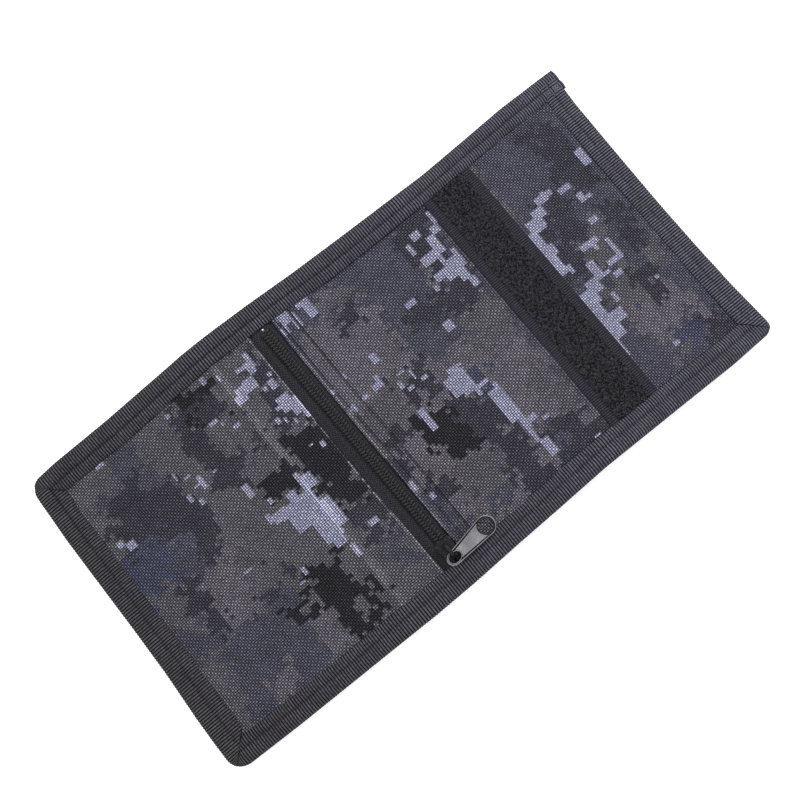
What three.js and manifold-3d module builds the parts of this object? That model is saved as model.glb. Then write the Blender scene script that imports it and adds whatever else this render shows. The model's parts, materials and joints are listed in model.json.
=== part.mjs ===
// Trifold wallet of printed Oxford cloth, lying open with its outer face up.
// The middle panel is level, and the two side panels slope down to the surface from their folds,
// so the wallet stands on its two end edges like a low tent. Lengths are in millimetres, +Z is up,
// +X runs from the front flap to the strip panel, and +Y runs to the long edge away from the slider.
// Heights within a panel are counted from its inner face, towards the outer face.

import * as THREE from 'three';
import { mergeVertices } from 'three/addons/utils/BufferGeometryUtils.js';
import Module from 'manifold-3d';

const manifold = await Module();
manifold.setup();

// ---------------------------------------------------------------- driving dimensions

// Plan outline. Each side panel is measured flat from its own fold line.
const LEFT_FOLD_X = -42.6;
const RIGHT_FOLD_X = 47.2;
const LEFT_FOLD_TOP_Y = 65.0;
const LEFT_FOLD_BOTTOM_Y = -65.1;
const RIGHT_FOLD_TOP_Y = 62.0;
const RIGHT_FOLD_BOTTOM_Y = -62.9;
const FLAP_TOP_CORNER = [-78.1, 64.7];
const FLAP_BOTTOM_CORNER = [-83.6, -63.3];
const STRIP_PANEL_TOP_CORNER = [79.3, 65.2];
const STRIP_PANEL_BOTTOM_CORNER = [79.4, -62.0];
const FLAP_TOP_RADIUS = 4.5;
const FLAP_BOTTOM_RADIUS = 5.5;
const STRIP_PANEL_BOTTOM_RADIUS = 3.5;

// Layers of a panel, from the inner face to the outer face: [low, high].
const INNER_TAPE = [0, 0.55];
const TOP_INNER_TAPE = [1.95, 2.5];
const FRONT_POCKET = [0.85, 1.2];
const BACK_POCKET = [1.5, 1.85];
const BILL_WALL = [2.15, 2.5];
const COIN_LINING = [2.8, 3.15];
const ZIP_TAPE_WING = [3.45, 3.8];
const ZIP_TAPE_FACE = [4.1, 4.5];
const SHELL = [4.1, 4.6];
const OUTER_TAPE = [4.9, 5.5];
const HOOK_STRIP = [0.85, 1.85];
const LOOP_STRIP = [4.9, 6.1];
const COIL = [4.8, 6.4];

// Bound edges. Along the top edge the tape holds only the shell and the coin lining,
// so that the bill compartment's mouth stays open.
const TAPE_THICKNESS = 0.6;
const TAPE_WIDTH_LONG_EDGES = 9.8;
const TAPE_WIDTH_ENDS = 9.4;
const GAP = 0.3;
const FOLD_MARGIN = 0.6;

// Closing the wallet: clearance between the folded faces, and under the folded stack.
const FOLD_CLEARANCE = 0.5;
const STRIP_CLEARANCE = 0.4;

// Zip, on the middle panel near the flap's fold. Its own frame has Y along the teeth.
const ZIP_X = -19.2;
const ZIP_SLANT = THREE.MathUtils.degToRad(0.67);
const ZIP_BOTTOM_Y = -63.2;
const ZIP_TOP_Y = 62.9;
const TEETH_BOTTOM_Y = -54.3;
const TEETH_TOP_Y = 53.4;
const TEETH_HALF_WIDTH = 2.15;
const TEETH_HALF_GAP = 0.5;
const FLAP_SIDE_REVEAL = 5.6;
const MIDDLE_SIDE_REVEAL = 3.95;
const ZIP_TAPE_HALF_WIDTH = 12;
const TAPE_STEP = 0.5;

// Slider, at the closed end of the zip, and its puller.
const SLIDER_Y = -50.2;
const SLIDER_LENGTH = 7.8;
const SLIDER_HALF_WIDTH = 3.4;
const SLIDER_PLATE = [6.7, 7.4];
const SLIDER_BASE = [3.45, 3.8];
const SLIDER_BASE_HALF_WIDTH = 2.5;
const SLIDER_CHEEK = [4.85, 6.8];
const SLIDER_CHEEK_INNER = 2.5;
const NECK_HALF_WIDTH = 0.2;
const NECK_SPAN = [1.4, 3.6];
const BRIDGE_HALF_WIDTH = 0.6;
const BRIDGE_SPAN = [-3.7, 2.2];
const BRIDGE_LEG = 0.9;
const BRIDGE_TOP = 10.1;
const BRIDGE_BAR = 0.8;
const PULLER_HINGE_Y = -4.2;
const PULLER_HEIGHT = 8.2;
const PULLER_THICKNESS = 0.9;
const PULLER_TURN = THREE.MathUtils.degToRad(7);
const PULLER_DROOP = THREE.MathUtils.degToRad(5);
const PULLER_HOLE_DISTANCE = 15.8;
const PULLER_RING_HALF = [3.5, 2.65];
const PULLER_SLOT_HALF = [2.7, 1.9];
const PULLER_END_RADIUS = 3.9;
const PULLER_EYE_RADIUS = 2.85;

// Hook and loop strips, and the pockets on the inner face.
const LOOP_STRIP_START = 7.2;
const STRIP_WIDTH = 22.8;
const HOOK_STRIP_END_GAP = 9.8;
const STRIP_END_MARGIN = 1.4;
const CARD_POCKET_WIDTH = 62;
const CARD_POCKET_START = 6;
const BACK_POCKET_TOP_Y = 34;
const FRONT_POCKET_TOP_Y = 22;
const WINDOW_MARGIN = 4;
const WINDOW_TOP_Y = 6;
const BILL_MOUTH_GAP = 0.6;

// ---------------------------------------------------------------- worked-out values

const panelThickness = OUTER_TAPE[1];
const rightAxisHeight = -FOLD_CLEARANCE / 2;
const leftAxisHeight = -(FOLD_CLEARANCE + LOOP_STRIP[1] + STRIP_CLEARANCE) / 2;
const closedDepth = panelThickness - 2 * leftAxisHeight;
const middleZ = closedDepth + GAP;
const leftTilt = slopeToFloor(-FLAP_BOTTOM_CORNER[0], leftAxisHeight);
const rightTilt = slopeToFloor(STRIP_PANEL_BOTTOM_CORNER[0], rightAxisHeight);

// Angle at which a panel of this length, hinged at this height, just touches the surface.
function slopeToFloor(length, axisHeight) {
  const offset = -axisHeight;
  const reach = Math.hypot(length, offset);
  return Math.asin((middleZ + axisHeight) / reach) + Math.atan2(offset, length);
}

// ---------------------------------------------------------------- plan geometry

// Moves each edge of a convex, anticlockwise polygon inwards. Edge i runs from point i to point i + 1.
function inset(points, distances) {
  const lines = points.map(([x, y], i) => {
    const [nextX, nextY] = points[(i + 1) % points.length];
    const length = Math.hypot(nextX - x, nextY - y);
    const normal = [(y - nextY) / length, (nextX - x) / length];
    return { normal, offset: normal[0] * x + normal[1] * y + distances[i] };
  });
  return lines.map((line, i) => {
    const before = lines[(i + lines.length - 1) % lines.length];
    const [ax, ay] = before.normal;
    const [bx, by] = line.normal;
    const cross = ax * by - ay * bx;
    return [(before.offset * by - line.offset * ay) / cross, (ax * line.offset - bx * before.offset) / cross];
  });
}

// Closed outline with each corner rounded by its own radius.
function roundedShape(points, radii) {
  const shape = new THREE.Shape();
  points.forEach(([x, y], i) => {
    const before = points[(i + points.length - 1) % points.length];
    const after = points[(i + 1) % points.length];
    const radius = radii[i] ?? 0;
    const start = towards([x, y], before, radius);
    const end = towards([x, y], after, radius);
    if (i === 0) shape.moveTo(...start);
    else shape.lineTo(...start);
    if (radius > 0) shape.quadraticCurveTo(x, y, ...end);
  });
  shape.closePath();
  return shape;
}

function towards([x, y], [otherX, otherY], distance) {
  const length = Math.hypot(otherX - x, otherY - y);
  return [x + ((otherX - x) * distance) / length, y + ((otherY - y) * distance) / length];
}

// ---------------------------------------------------------------- solids

function solidFrom(geometry) {
  const bare = geometry.index ? geometry.toNonIndexed() : geometry;
  bare.deleteAttribute('normal');
  bare.deleteAttribute('uv');
  const merged = mergeVertices(bare, 1e-4);
  const mesh = new manifold.Mesh({
    numProp: 3,
    vertProperties: new Float32Array(merged.attributes.position.array),
    triVerts: new Uint32Array(merged.index.array),
  });
  return new manifold.Manifold(mesh);
}

// Flat sheet between two heights.
function sheet(points, [low, high], radii = []) {
  const options = { depth: high - low, bevelEnabled: false, curveSegments: 6 };
  const geometry = new THREE.ExtrudeGeometry(roundedShape(points, radii), options);
  geometry.translate(0, 0, low);
  return solidFrom(geometry);
}

// Section drawn in X and Z, run along Y.
function alongY(points, [low, high]) {
  const options = { depth: high - low, bevelEnabled: false };
  const geometry = new THREE.ExtrudeGeometry(roundedShape(points, []), options);
  geometry.rotateX(Math.PI / 2);
  geometry.translate(0, high, 0);
  return solidFrom(geometry);
}

function block([x0, x1], [y0, y1], heights) {
  return sheet([[x0, y0], [x1, y0], [x1, y1], [x0, y1]], heights);
}

function meshFrom(name, solid, material) {
  const { vertProperties, triVerts, numProp } = solid.getMesh();
  const positions = new Float32Array((vertProperties.length / numProp) * 3);
  for (let i = 0; i < positions.length / 3; i += 1) {
    for (let axis = 0; axis < 3; axis += 1) positions[3 * i + axis] = vertProperties[numProp * i + axis];
  }
  const geometry = new THREE.BufferGeometry();
  geometry.setAttribute('position', new THREE.BufferAttribute(positions, 3));
  geometry.setIndex(new THREE.BufferAttribute(new Uint32Array(triVerts), 1));
  geometry.computeVertexNormals();
  const mesh = new THREE.Mesh(geometry, material);
  mesh.name = name;
  return mesh;
}

function finish(color, roughness, metalness = 0) {
  return new THREE.MeshStandardMaterial({ color, roughness, metalness });
}

const camouflageCloth = finish(0x3c3c42, 0.9);
const liningCloth = finish(0x26262a, 0.85);
const bindingTape = finish(0x2b2b33, 0.9);
const zipTapeCloth = finish(0x222226, 0.9);
const zipNylon = finish(0x1c1c20, 0.5);
const loopPile = finish(0x242426, 1);
const hookNylon = finish(0x202022, 0.6);
const clearVinyl = finish(0xb8bcc0, 0.15);
const sliderMetal = finish(0x2a2a2c, 0.45, 0.7);
const pullerMetal = finish(0x9c9ca2, 0.35, 0.9);

// ---------------------------------------------------------------- panels

// A panel's corners run anticlockwise from the bottom left, and these are its edges.
const BOTTOM = 0;
const RIGHT = 1;
const TOP = 2;
const LEFT = 3;

const flap = {
  outline: [
    FLAP_BOTTOM_CORNER,
    [0, LEFT_FOLD_BOTTOM_Y],
    [0, LEFT_FOLD_TOP_Y],
    FLAP_TOP_CORNER,
  ],
  radii: [FLAP_BOTTOM_RADIUS, 0, 0, FLAP_TOP_RADIUS],
  bound: [true, false, true, true],
};

const middle = {
  outline: [
    [LEFT_FOLD_X, LEFT_FOLD_BOTTOM_Y],
    [RIGHT_FOLD_X, RIGHT_FOLD_BOTTOM_Y],
    [RIGHT_FOLD_X, RIGHT_FOLD_TOP_Y],
    [LEFT_FOLD_X, LEFT_FOLD_TOP_Y],
  ],
  radii: [0, 0, 0, 0],
  bound: [true, false, true, false],
};

const stripPanel = {
  outline: [
    [0, RIGHT_FOLD_BOTTOM_Y],
    STRIP_PANEL_BOTTOM_CORNER,
    STRIP_PANEL_TOP_CORNER,
    [0, RIGHT_FOLD_TOP_Y],
  ],
  radii: [0, STRIP_PANEL_BOTTOM_RADIUS, 0, 0],
  bound: [true, true, true, false],
};

const bandWidths = [TAPE_WIDTH_LONG_EDGES, TAPE_WIDTH_ENDS, TAPE_WIDTH_LONG_EDGES, TAPE_WIDTH_ENDS];

// Outline of a cloth layer that stops short of the tape's bent edge and of the folds.
function layerOutline(panel) {
  return inset(panel.outline, panel.bound.map((bound) => (bound ? TAPE_THICKNESS + GAP : FOLD_MARGIN)));
}

function layer(panel, heights) {
  const radii = panel.radii.map((radius) => Math.max(radius - TAPE_THICKNESS - GAP, 0));
  return sheet(layerOutline(panel), heights, radii);
}

// The open window inside the binding, where the cloth shows.
function windowOutline(panel) {
  return inset(panel.outline, panel.bound.map((bound, i) => (bound ? bandWidths[i] + GAP : FOLD_MARGIN)));
}

// One length of the tape: bent over the panel's edge, with a flange on each face.
function binding(panel, edge) {
  const next = (edge + 1) % 4;
  const quad = (inner) => [panel.outline[edge], panel.outline[next], inner[next], inner[edge]];
  const byEdge = (widths) => panel.bound.map((bound, i) => (bound ? widths[i] : 0));
  const trim = (side) => (panel.bound[side] ? GAP / 2 : FOLD_MARGIN);
  const trims = [0, trim(next), 0, trim((edge + 3) % 4)];
  const flange = inset(quad(inset(panel.outline, byEdge(bandWidths))), trims);
  const wall = inset(quad(inset(panel.outline, byEdge(bandWidths.map(() => TAPE_THICKNESS)))), trims);
  const innerTape = edge === TOP ? TOP_INNER_TAPE : INNER_TAPE;
  const bend = sheet(wall, [innerTape[0], panelThickness]);
  const tape = sheet(flange, innerTape).add(sheet(flange, OUTER_TAPE)).add(bend);
  return tape.intersect(sheet(panel.outline, [-1, panelThickness + 1], panel.radii));
}

// Bill wall: its mouth edge is free, just below the binding of the top edge.
function billWallOutline(panel) {
  return inset(layerOutline(panel), [0, 0, TAPE_WIDTH_LONG_EDGES - TAPE_THICKNESS + BILL_MOUTH_GAP, 0]);
}

function billWall(panel) {
  const points = billWallOutline(panel);
  const radii = panel.radii.map((radius, i) => (i < TOP ? Math.max(radius - TAPE_THICKNESS - GAP, 0) : 0));
  return sheet(points, BILL_WALL, radii);
}

// ---------------------------------------------------------------- middle panel

const wallet = new THREE.Group();
const middleGroup = new THREE.Group();
middleGroup.position.z = middleZ;
wallet.add(middleGroup);

// Half-length of a cutting block that reaches past the wallet.
const BEYOND = 200;

const zipEdge = (side, y) => ZIP_X - Math.tan(ZIP_SLANT) * y + side;
const middleLayer = layerOutline(middle);

function shellBesideZip(fromFold, toZip) {
  const bottomEnd = [zipEdge(toZip, -BEYOND), -BEYOND];
  const topEnd = [zipEdge(toZip, BEYOND), BEYOND];
  const side = fromFold === 'left'
    ? [[-BEYOND, -BEYOND], bottomEnd, topEnd, [-BEYOND, BEYOND]]
    : [bottomEnd, [BEYOND, -BEYOND], [BEYOND, BEYOND], topEnd];
  return sheet(middleLayer, SHELL).intersect(sheet(side, [0, panelThickness]));
}

// The pocket and the window start under the bottom binding and end in open mouths.
const pocketBottomY = Math.max(middleLayer[0][1], middleLayer[1][1]);
const windowSpan = [LEFT_FOLD_X + WINDOW_MARGIN, RIGHT_FOLD_X - WINDOW_MARGIN];

const cardPocket = block(windowSpan, [pocketBottomY, FRONT_POCKET_TOP_Y], BACK_POCKET);
const idWindow = block(windowSpan, [pocketBottomY, WINDOW_TOP_Y], FRONT_POCKET);

middleGroup.add(
  meshFrom('shell_front_return', shellBesideZip('left', -FLAP_SIDE_REVEAL), camouflageCloth),
  meshFrom('shell_middle', shellBesideZip('right', MIDDLE_SIDE_REVEAL), camouflageCloth),
  meshFrom('coin_lining_middle', layer(middle, COIN_LINING), liningCloth),
  meshFrom('bill_wall_middle', billWall(middle), liningCloth),
  meshFrom('card_pocket_middle', cardPocket, liningCloth),
  meshFrom('id_window', idWindow, clearVinyl),
  meshFrom('binding_bottom_middle', binding(middle, BOTTOM), bindingTape),
  meshFrom('binding_top_middle', binding(middle, TOP), bindingTape),
);

// ---------------------------------------------------------------- zip

const zipGroup = new THREE.Group();
zipGroup.position.set(ZIP_X, 0, 0);
zipGroup.rotation.z = ZIP_SLANT;
middleGroup.add(zipGroup);

// Each zip tape is level beside the teeth and steps down to run under the shell's edge.
function zipTape(side, reveal) {
  const face = reveal - GAP;
  const step = face - TAPE_STEP;
  const section = [
    [TEETH_HALF_GAP, ZIP_TAPE_FACE[0]],
    [step, ZIP_TAPE_FACE[0]],
    [step, ZIP_TAPE_WING[0]],
    [ZIP_TAPE_HALF_WIDTH, ZIP_TAPE_WING[0]],
    [ZIP_TAPE_HALF_WIDTH, ZIP_TAPE_WING[1]],
    [face, ZIP_TAPE_WING[1]],
    [face, ZIP_TAPE_FACE[1]],
    [TEETH_HALF_GAP, ZIP_TAPE_FACE[1]],
  ];
  return mirrored(section, side, [ZIP_BOTTOM_Y, ZIP_TOP_Y]);
}

// Teeth row: the coil's outer envelope, rounded on top.
function coil(side) {
  const shoulder = COIL[1] - 0.5;
  const section = [
    [TEETH_HALF_GAP, COIL[0]],
    [TEETH_HALF_WIDTH, COIL[0]],
    [TEETH_HALF_WIDTH, shoulder],
    [TEETH_HALF_WIDTH - 0.4, COIL[1]],
    [TEETH_HALF_GAP, COIL[1]],
  ];
  return mirrored(section, side, [TEETH_BOTTOM_Y, TEETH_TOP_Y]);
}

function mirrored(section, side, span) {
  const points = section.map(([x, z]) => [side * x, z]);
  return alongY(side > 0 ? points : points.reverse(), span);
}

zipGroup.add(
  meshFrom('zip_tape_left', zipTape(-1, FLAP_SIDE_REVEAL), zipTapeCloth),
  meshFrom('zip_tape_right', zipTape(1, MIDDLE_SIDE_REVEAL), zipTapeCloth),
  meshFrom('zip_coil_left', coil(-1), zipNylon),
  meshFrom('zip_coil_right', coil(1), zipNylon),
);

const sliderGroup = new THREE.Group();
sliderGroup.position.set(0, SLIDER_Y, 0);
zipGroup.add(sliderGroup);

// Slider: top plate with cheeks outside the teeth, a base plate under the tapes,
// a neck between the rows, and a bridge that holds the puller.
function slider() {
  const half = SLIDER_LENGTH / 2;
  const width = SLIDER_HALF_WIDTH;
  const plateCorners = [[-width, -half], [width, -half], [width, half], [-width, half]];
  const plate = sheet(plateCorners, SLIDER_PLATE, [2, 2, 1, 1]);
  const base = block([-SLIDER_BASE_HALF_WIDTH, SLIDER_BASE_HALF_WIDTH], [-half, half], SLIDER_BASE);
  const neckHeights = [SLIDER_BASE[0], SLIDER_PLATE[1]];
  const neck = block([-NECK_HALF_WIDTH, NECK_HALF_WIDTH], NECK_SPAN, neckHeights);
  const cheekSpan = [1.6 - half, half - 1];
  const cheeks = [-1, 1].map((side) => {
    const edges = [side * SLIDER_CHEEK_INNER, side * width].sort((a, b) => a - b);
    return block(edges, cheekSpan, SLIDER_CHEEK);
  });
  const bridgeSpan = [-BRIDGE_HALF_WIDTH, BRIDGE_HALF_WIDTH];
  const arch = block(bridgeSpan, BRIDGE_SPAN, [SLIDER_PLATE[0], BRIDGE_TOP]);
  const openingSpan = [BRIDGE_SPAN[0] + BRIDGE_LEG, BRIDGE_SPAN[1] - BRIDGE_LEG];
  const openingHeights = [SLIDER_PLATE[1], BRIDGE_TOP - BRIDGE_BAR];
  const opening = block([-width, width], openingSpan, openingHeights);
  return [base, neck, ...cheeks, arch.subtract(opening)].reduce((whole, piece) => whole.add(piece), plate);
}

sliderGroup.add(meshFrom('zip_slider', slider(), sliderMetal));

// Puller: a tapered plate with a slot round the bridge's leg and a round eye at the wide end.
function puller() {
  const heights = [-PULLER_THICKNESS / 2, PULLER_THICKNESS / 2];
  const tall = [heights[0] - 1, heights[1] + 1];
  const ring = oval(0, PULLER_RING_HALF, heights);
  const end = oval(PULLER_HOLE_DISTANCE, [PULLER_END_RADIUS, PULLER_END_RADIUS], heights);
  const body = sheet([
    [0, -PULLER_RING_HALF[1]],
    [PULLER_HOLE_DISTANCE, -PULLER_END_RADIUS],
    [PULLER_HOLE_DISTANCE, PULLER_END_RADIUS],
    [0, PULLER_RING_HALF[1]],
  ], heights);
  const slot = oval(0, PULLER_SLOT_HALF, tall);
  const eye = oval(PULLER_HOLE_DISTANCE, [PULLER_EYE_RADIUS, PULLER_EYE_RADIUS], tall);
  return ring.add(end).add(body).subtract(slot).subtract(eye);
}

function oval(x, [halfLength, halfWidth], [low, high]) {
  const geometry = new THREE.CylinderGeometry(1, 1, high - low, 28);
  geometry.rotateX(Math.PI / 2);
  geometry.scale(halfLength, halfWidth, 1);
  geometry.translate(x, 0, (low + high) / 2);
  return solidFrom(geometry);
}

const pullerMesh = meshFrom('zip_puller', puller(), pullerMetal);
pullerMesh.position.set(0, PULLER_HINGE_Y, PULLER_HEIGHT);
pullerMesh.rotation.set(0, PULLER_DROOP, PULLER_TURN - ZIP_SLANT, 'ZYX');
sliderGroup.add(pullerMesh);

// ---------------------------------------------------------------- front flap

const flapGroup = new THREE.Group();
flapGroup.position.set(LEFT_FOLD_X, 0, middleZ + leftAxisHeight);
flapGroup.rotation.y = -leftTilt;
wallet.add(flapGroup);

const flapLayers = new THREE.Group();
flapLayers.position.z = -leftAxisHeight;
flapGroup.add(flapLayers);

const flapWall = billWallOutline(flap);
const hookStart = Math.max(flapWall[0][0], flapWall[3][0]) + HOOK_STRIP_END_GAP;
const hookSpanY = [flapWall[0][1] + STRIP_END_MARGIN, flapWall[3][1] - STRIP_END_MARGIN];

flapLayers.add(
  meshFrom('shell_front_flap', layer(flap, SHELL), camouflageCloth),
  meshFrom('coin_lining_flap', layer(flap, COIN_LINING), liningCloth),
  meshFrom('bill_wall_flap', billWall(flap), liningCloth),
  meshFrom('hook_strip', block([hookStart, hookStart + STRIP_WIDTH], hookSpanY, HOOK_STRIP), hookNylon),
  meshFrom('binding_bottom_flap', binding(flap, BOTTOM), bindingTape),
  meshFrom('binding_top_flap', binding(flap, TOP), bindingTape),
  meshFrom('binding_front_end', binding(flap, LEFT), bindingTape),
);

// ---------------------------------------------------------------- strip panel

const stripGroup = new THREE.Group();
stripGroup.position.set(RIGHT_FOLD_X, 0, middleZ + rightAxisHeight);
stripGroup.rotation.y = rightTilt;
wallet.add(stripGroup);

const stripLayers = new THREE.Group();
stripLayers.position.z = -rightAxisHeight;
stripGroup.add(stripLayers);

const loopWidth = block([LOOP_STRIP_START, LOOP_STRIP_START + STRIP_WIDTH], [-BEYOND, BEYOND], LOOP_STRIP);
const loopStrip = sheet(windowOutline(stripPanel), LOOP_STRIP).intersect(loopWidth);
const pocketSpan = [CARD_POCKET_START, CARD_POCKET_START + CARD_POCKET_WIDTH];
const stripLayer = layerOutline(stripPanel);
const stripPocketBottomY = Math.max(stripLayer[0][1], stripLayer[1][1]);
const backPocket = block(pocketSpan, [stripPocketBottomY, BACK_POCKET_TOP_Y], BACK_POCKET);
const frontPocket = block(pocketSpan, [stripPocketBottomY, FRONT_POCKET_TOP_Y], FRONT_POCKET);

stripLayers.add(
  meshFrom('shell_strip_panel', layer(stripPanel, SHELL), camouflageCloth),
  meshFrom('loop_strip', loopStrip, loopPile),
  meshFrom('coin_lining_strip_panel', layer(stripPanel, COIN_LINING), liningCloth),
  meshFrom('bill_wall_strip_panel', billWall(stripPanel), liningCloth),
  meshFrom('card_pocket_back', backPocket, liningCloth),
  meshFrom('card_pocket_front', frontPocket, liningCloth),
  meshFrom('binding_bottom_strip_panel', binding(stripPanel, BOTTOM), bindingTape),
  meshFrom('binding_rear_end', binding(stripPanel, RIGHT), bindingTape),
  meshFrom('binding_top_strip_panel', binding(stripPanel, TOP), bindingTape),
);

export default wallet;
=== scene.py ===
# Looks of the cloth trifold wallet: printed cloth, ribbed binding, coil zip, closure strip and inner pockets.
# Every piece is drawn in the wallet's plan, in millimetres, with the wallet spread flat: X along the wallet,
# y across it, and a height above the inner face. settle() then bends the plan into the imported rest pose.

import json
import math

import bmesh
import bpy
import numpy as np
from mathutils import Matrix, Vector


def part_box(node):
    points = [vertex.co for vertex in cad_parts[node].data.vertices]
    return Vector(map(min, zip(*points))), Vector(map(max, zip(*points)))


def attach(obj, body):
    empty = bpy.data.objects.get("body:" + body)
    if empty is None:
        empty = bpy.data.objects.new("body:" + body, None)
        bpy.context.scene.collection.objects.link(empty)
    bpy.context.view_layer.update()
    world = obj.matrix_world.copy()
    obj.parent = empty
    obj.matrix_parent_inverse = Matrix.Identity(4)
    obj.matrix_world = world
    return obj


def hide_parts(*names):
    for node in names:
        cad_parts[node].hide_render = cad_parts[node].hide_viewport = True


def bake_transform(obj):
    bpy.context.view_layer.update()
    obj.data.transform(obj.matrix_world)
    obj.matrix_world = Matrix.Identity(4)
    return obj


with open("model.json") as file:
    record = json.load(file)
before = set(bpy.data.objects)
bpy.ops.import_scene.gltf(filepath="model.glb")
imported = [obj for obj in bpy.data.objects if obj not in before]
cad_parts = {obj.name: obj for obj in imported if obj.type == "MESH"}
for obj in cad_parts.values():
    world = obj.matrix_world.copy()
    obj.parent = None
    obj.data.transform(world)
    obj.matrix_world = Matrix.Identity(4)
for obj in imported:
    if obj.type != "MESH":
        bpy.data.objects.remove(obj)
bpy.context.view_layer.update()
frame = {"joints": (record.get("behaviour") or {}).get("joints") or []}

MM = 0.001
pieces = {}      # every piece by its name

# ---------------------------------------------------------------- the frame's own sizes

joints = {joint["name"]: joint for joint in frame["joints"]}


def axis_place(name):
    return np.array(joints[name]["pos_m"]) / MM


def fold_tilt(name):
    """How far a panel already slopes at rest: what its hinge's travel leaves of half a turn."""
    return math.radians(180 - joints[name]["range_deg"][1])


LEFT_AXIS = axis_place("front_fold")
RIGHT_AXIS = axis_place("strip_fold")
LEFT_TILT = fold_tilt("front_fold")
RIGHT_TILT = fold_tilt("strip_fold")
MIDDLE_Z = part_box("binding_bottom_middle")[0].z / MM

# The plan's X counts from a point on the middle panel.
LEFT_FOLD = -44.4
RIGHT_FOLD = LEFT_FOLD + RIGHT_AXIS[0] - LEFT_AXIS[0]
PLAN_SHIFT = LEFT_AXIS[0] - LEFT_FOLD
MID_X = (LEFT_FOLD + RIGHT_FOLD) / 2

# Half the width of the cloth that bends at each fold.
LEFT_BEND = 13.0
RIGHT_BEND = 9.0

# ---------------------------------------------------------------- driving dimensions of the looks

CLOTH_TOP = 4.75
CLOTH_THICKNESS = 0.45
THREAD = (0.88, 0.79)
PRINT_CELL = (2 * THREAD[0], 2 * THREAD[1])

TAPE_TOP = 5.5
FLANGE = 9.6                # nominal width of the folded tape, from its outer edge to its inner lip
FLANGE_RUN = 9.75           # the same width measured over the tape's crowns
SEAM_DISTANCE = 5.2         # of the sewn groove from the tape's outer edge, on a flange of nominal width
RIB_PITCH = 1.057

ZIP_X = -21.0
ZIP_TURN = math.radians(0.67)
TEETH_PITCH = 1.27

PILE_SPAN = (56.2, 71.7)
STRIP_SPAN = (52.7, 75.4)
STRIP_RIB_PITCH = 0.9

# How bright the studio makes a white surface that faces up, where 1 is display white.
LIGHT_LEVEL = 1.6


def smooth(t):
    t = np.clip(t, 0, 1)
    return t * t * (3 - 2 * t)


def bell(x, middle, width):
    """A smooth bump: 1 in the middle, and near 0 from twice the width on."""
    return np.exp(-((x - middle) / width) ** 2)


def curve(points):
    """Value at any place, on straight stretches between a few (place, value) points."""
    places, values = np.array(points, float).T
    return lambda place: np.interp(place, places, values)


# Edges of the wallet's plan, as they lie.
top_edge = curve([(-124, 64.3), (-110, 64.9), (-85, 64.5), (-50, 64.9), (-35, 64.7), (-20, 64.2), (0, 63.1),
                  (20, 62.5), (45, 61.9), (60, 62.1), (80, 63.4), (100, 64.8), (122, 65.2)])
bottom_edge = curve([(-124, -63.6), (-100, -64.4), (-60, -65.0), (-38, -65.4), (-20, -65.1), (0, -64.3),
                     (20, -63.7), (42, -62.9), (80, -62.9), (105, -63.0), (124, -62.2)])
left_edge = curve([(-62, -127.8), (-50, -127.5), (-40, -127.1), (-20, -125.7), (0, -125.0), (40, -124.0),
                   (62, -122.7)])
right_edge = curve([(-58, 125.2), (-40, 124.0), (-20, 123.5), (0, 123.35), (25, 123.6), (50, 124.1),
                    (62, 124.9)])

# Edges of the printed cloth on the two sides of the zip, as X for a y.
front_hem = curve([(-62, -26.0), (-45, -26.6), (-25, -27.2), (0, -27.5), (35, -27.5), (62, -27.2)])
back_hem = curve([(-62, -16.5), (-40, -16.8), (0, -17.4), (40, -17.4), (62, -17.2)])

# The two folds: axis, tilt at rest, half width of the bend, and the way out from the middle panel along X.
FOLDS = {
    "front_fold": (LEFT_AXIS, LEFT_TILT, LEFT_BEND, -1),
    "strip_fold": (RIGHT_AXIS, RIGHT_TILT, RIGHT_BEND, 1),
}


def settle(plan):
    """Plan points (X, y, height) in millimetres, bent at both folds into the rest pose."""
    points = plan.astype(float) + (PLAN_SHIFT, 0, MIDDLE_Z)
    for axis, tilt, half, side in FOLDS.values():
        dx = points[:, 0] - axis[0]
        dz = points[:, 2] - axis[2]
        angle = tilt * smooth((side * dx + half) / (2 * half))
        bent_x = axis[0] + dx * np.cos(angle) + side * dz * np.sin(angle)
        bent_z = axis[2] - side * dx * np.sin(angle) + dz * np.cos(angle)
        past = side * dx > -half
        points[:, 0] = np.where(past, bent_x, points[:, 0])
        points[:, 2] = np.where(past, bent_z, points[:, 2])
    return points


def over_fold(piece, name):
    """Bakes a piece's transform into its mesh. It also works out the ends of the fold's bent zone, from the
    middle panel's end to the far end, and leaves them unused.
    """
    axis, _, half, side = FOLDS[name]
    place = axis[0] - PLAN_SHIFT
    zone = np.array([[place - side * half, 0, 0], [place + side * half, 0, 0]])
    start, end = settle(zone) * MM
    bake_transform(piece)


def noise(x, y, pitch, seed):
    """Smooth random field from 0 to 1, repeatable for a seed."""
    size = 128
    table = np.random.default_rng(seed).random((size, size))
    u = np.asarray(x) / pitch + size / 2
    v = np.asarray(y) / pitch + size / 2
    i = np.floor(u).astype(int)
    j = np.floor(v).astype(int)
    a = smooth(u - i)
    b = smooth(v - j)
    near = table[i % size, j % size] * (1 - a) + table[(i + 1) % size, j % size] * a
    far = table[i % size, (j + 1) % size] * (1 - a) + table[(i + 1) % size, (j + 1) % size] * a
    return near * (1 - b) + far * b


# ---------------------------------------------------------------- mesh helpers

def linear(color):
    """Share of light that a surface returns, for the display colour that it shows in the studio."""
    c = np.asarray(color, float) / 255
    return np.where(c <= 0.04045, c / 12.92, ((c + 0.055) / 1.055) ** 2.4) / LIGHT_LEVEL


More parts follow.
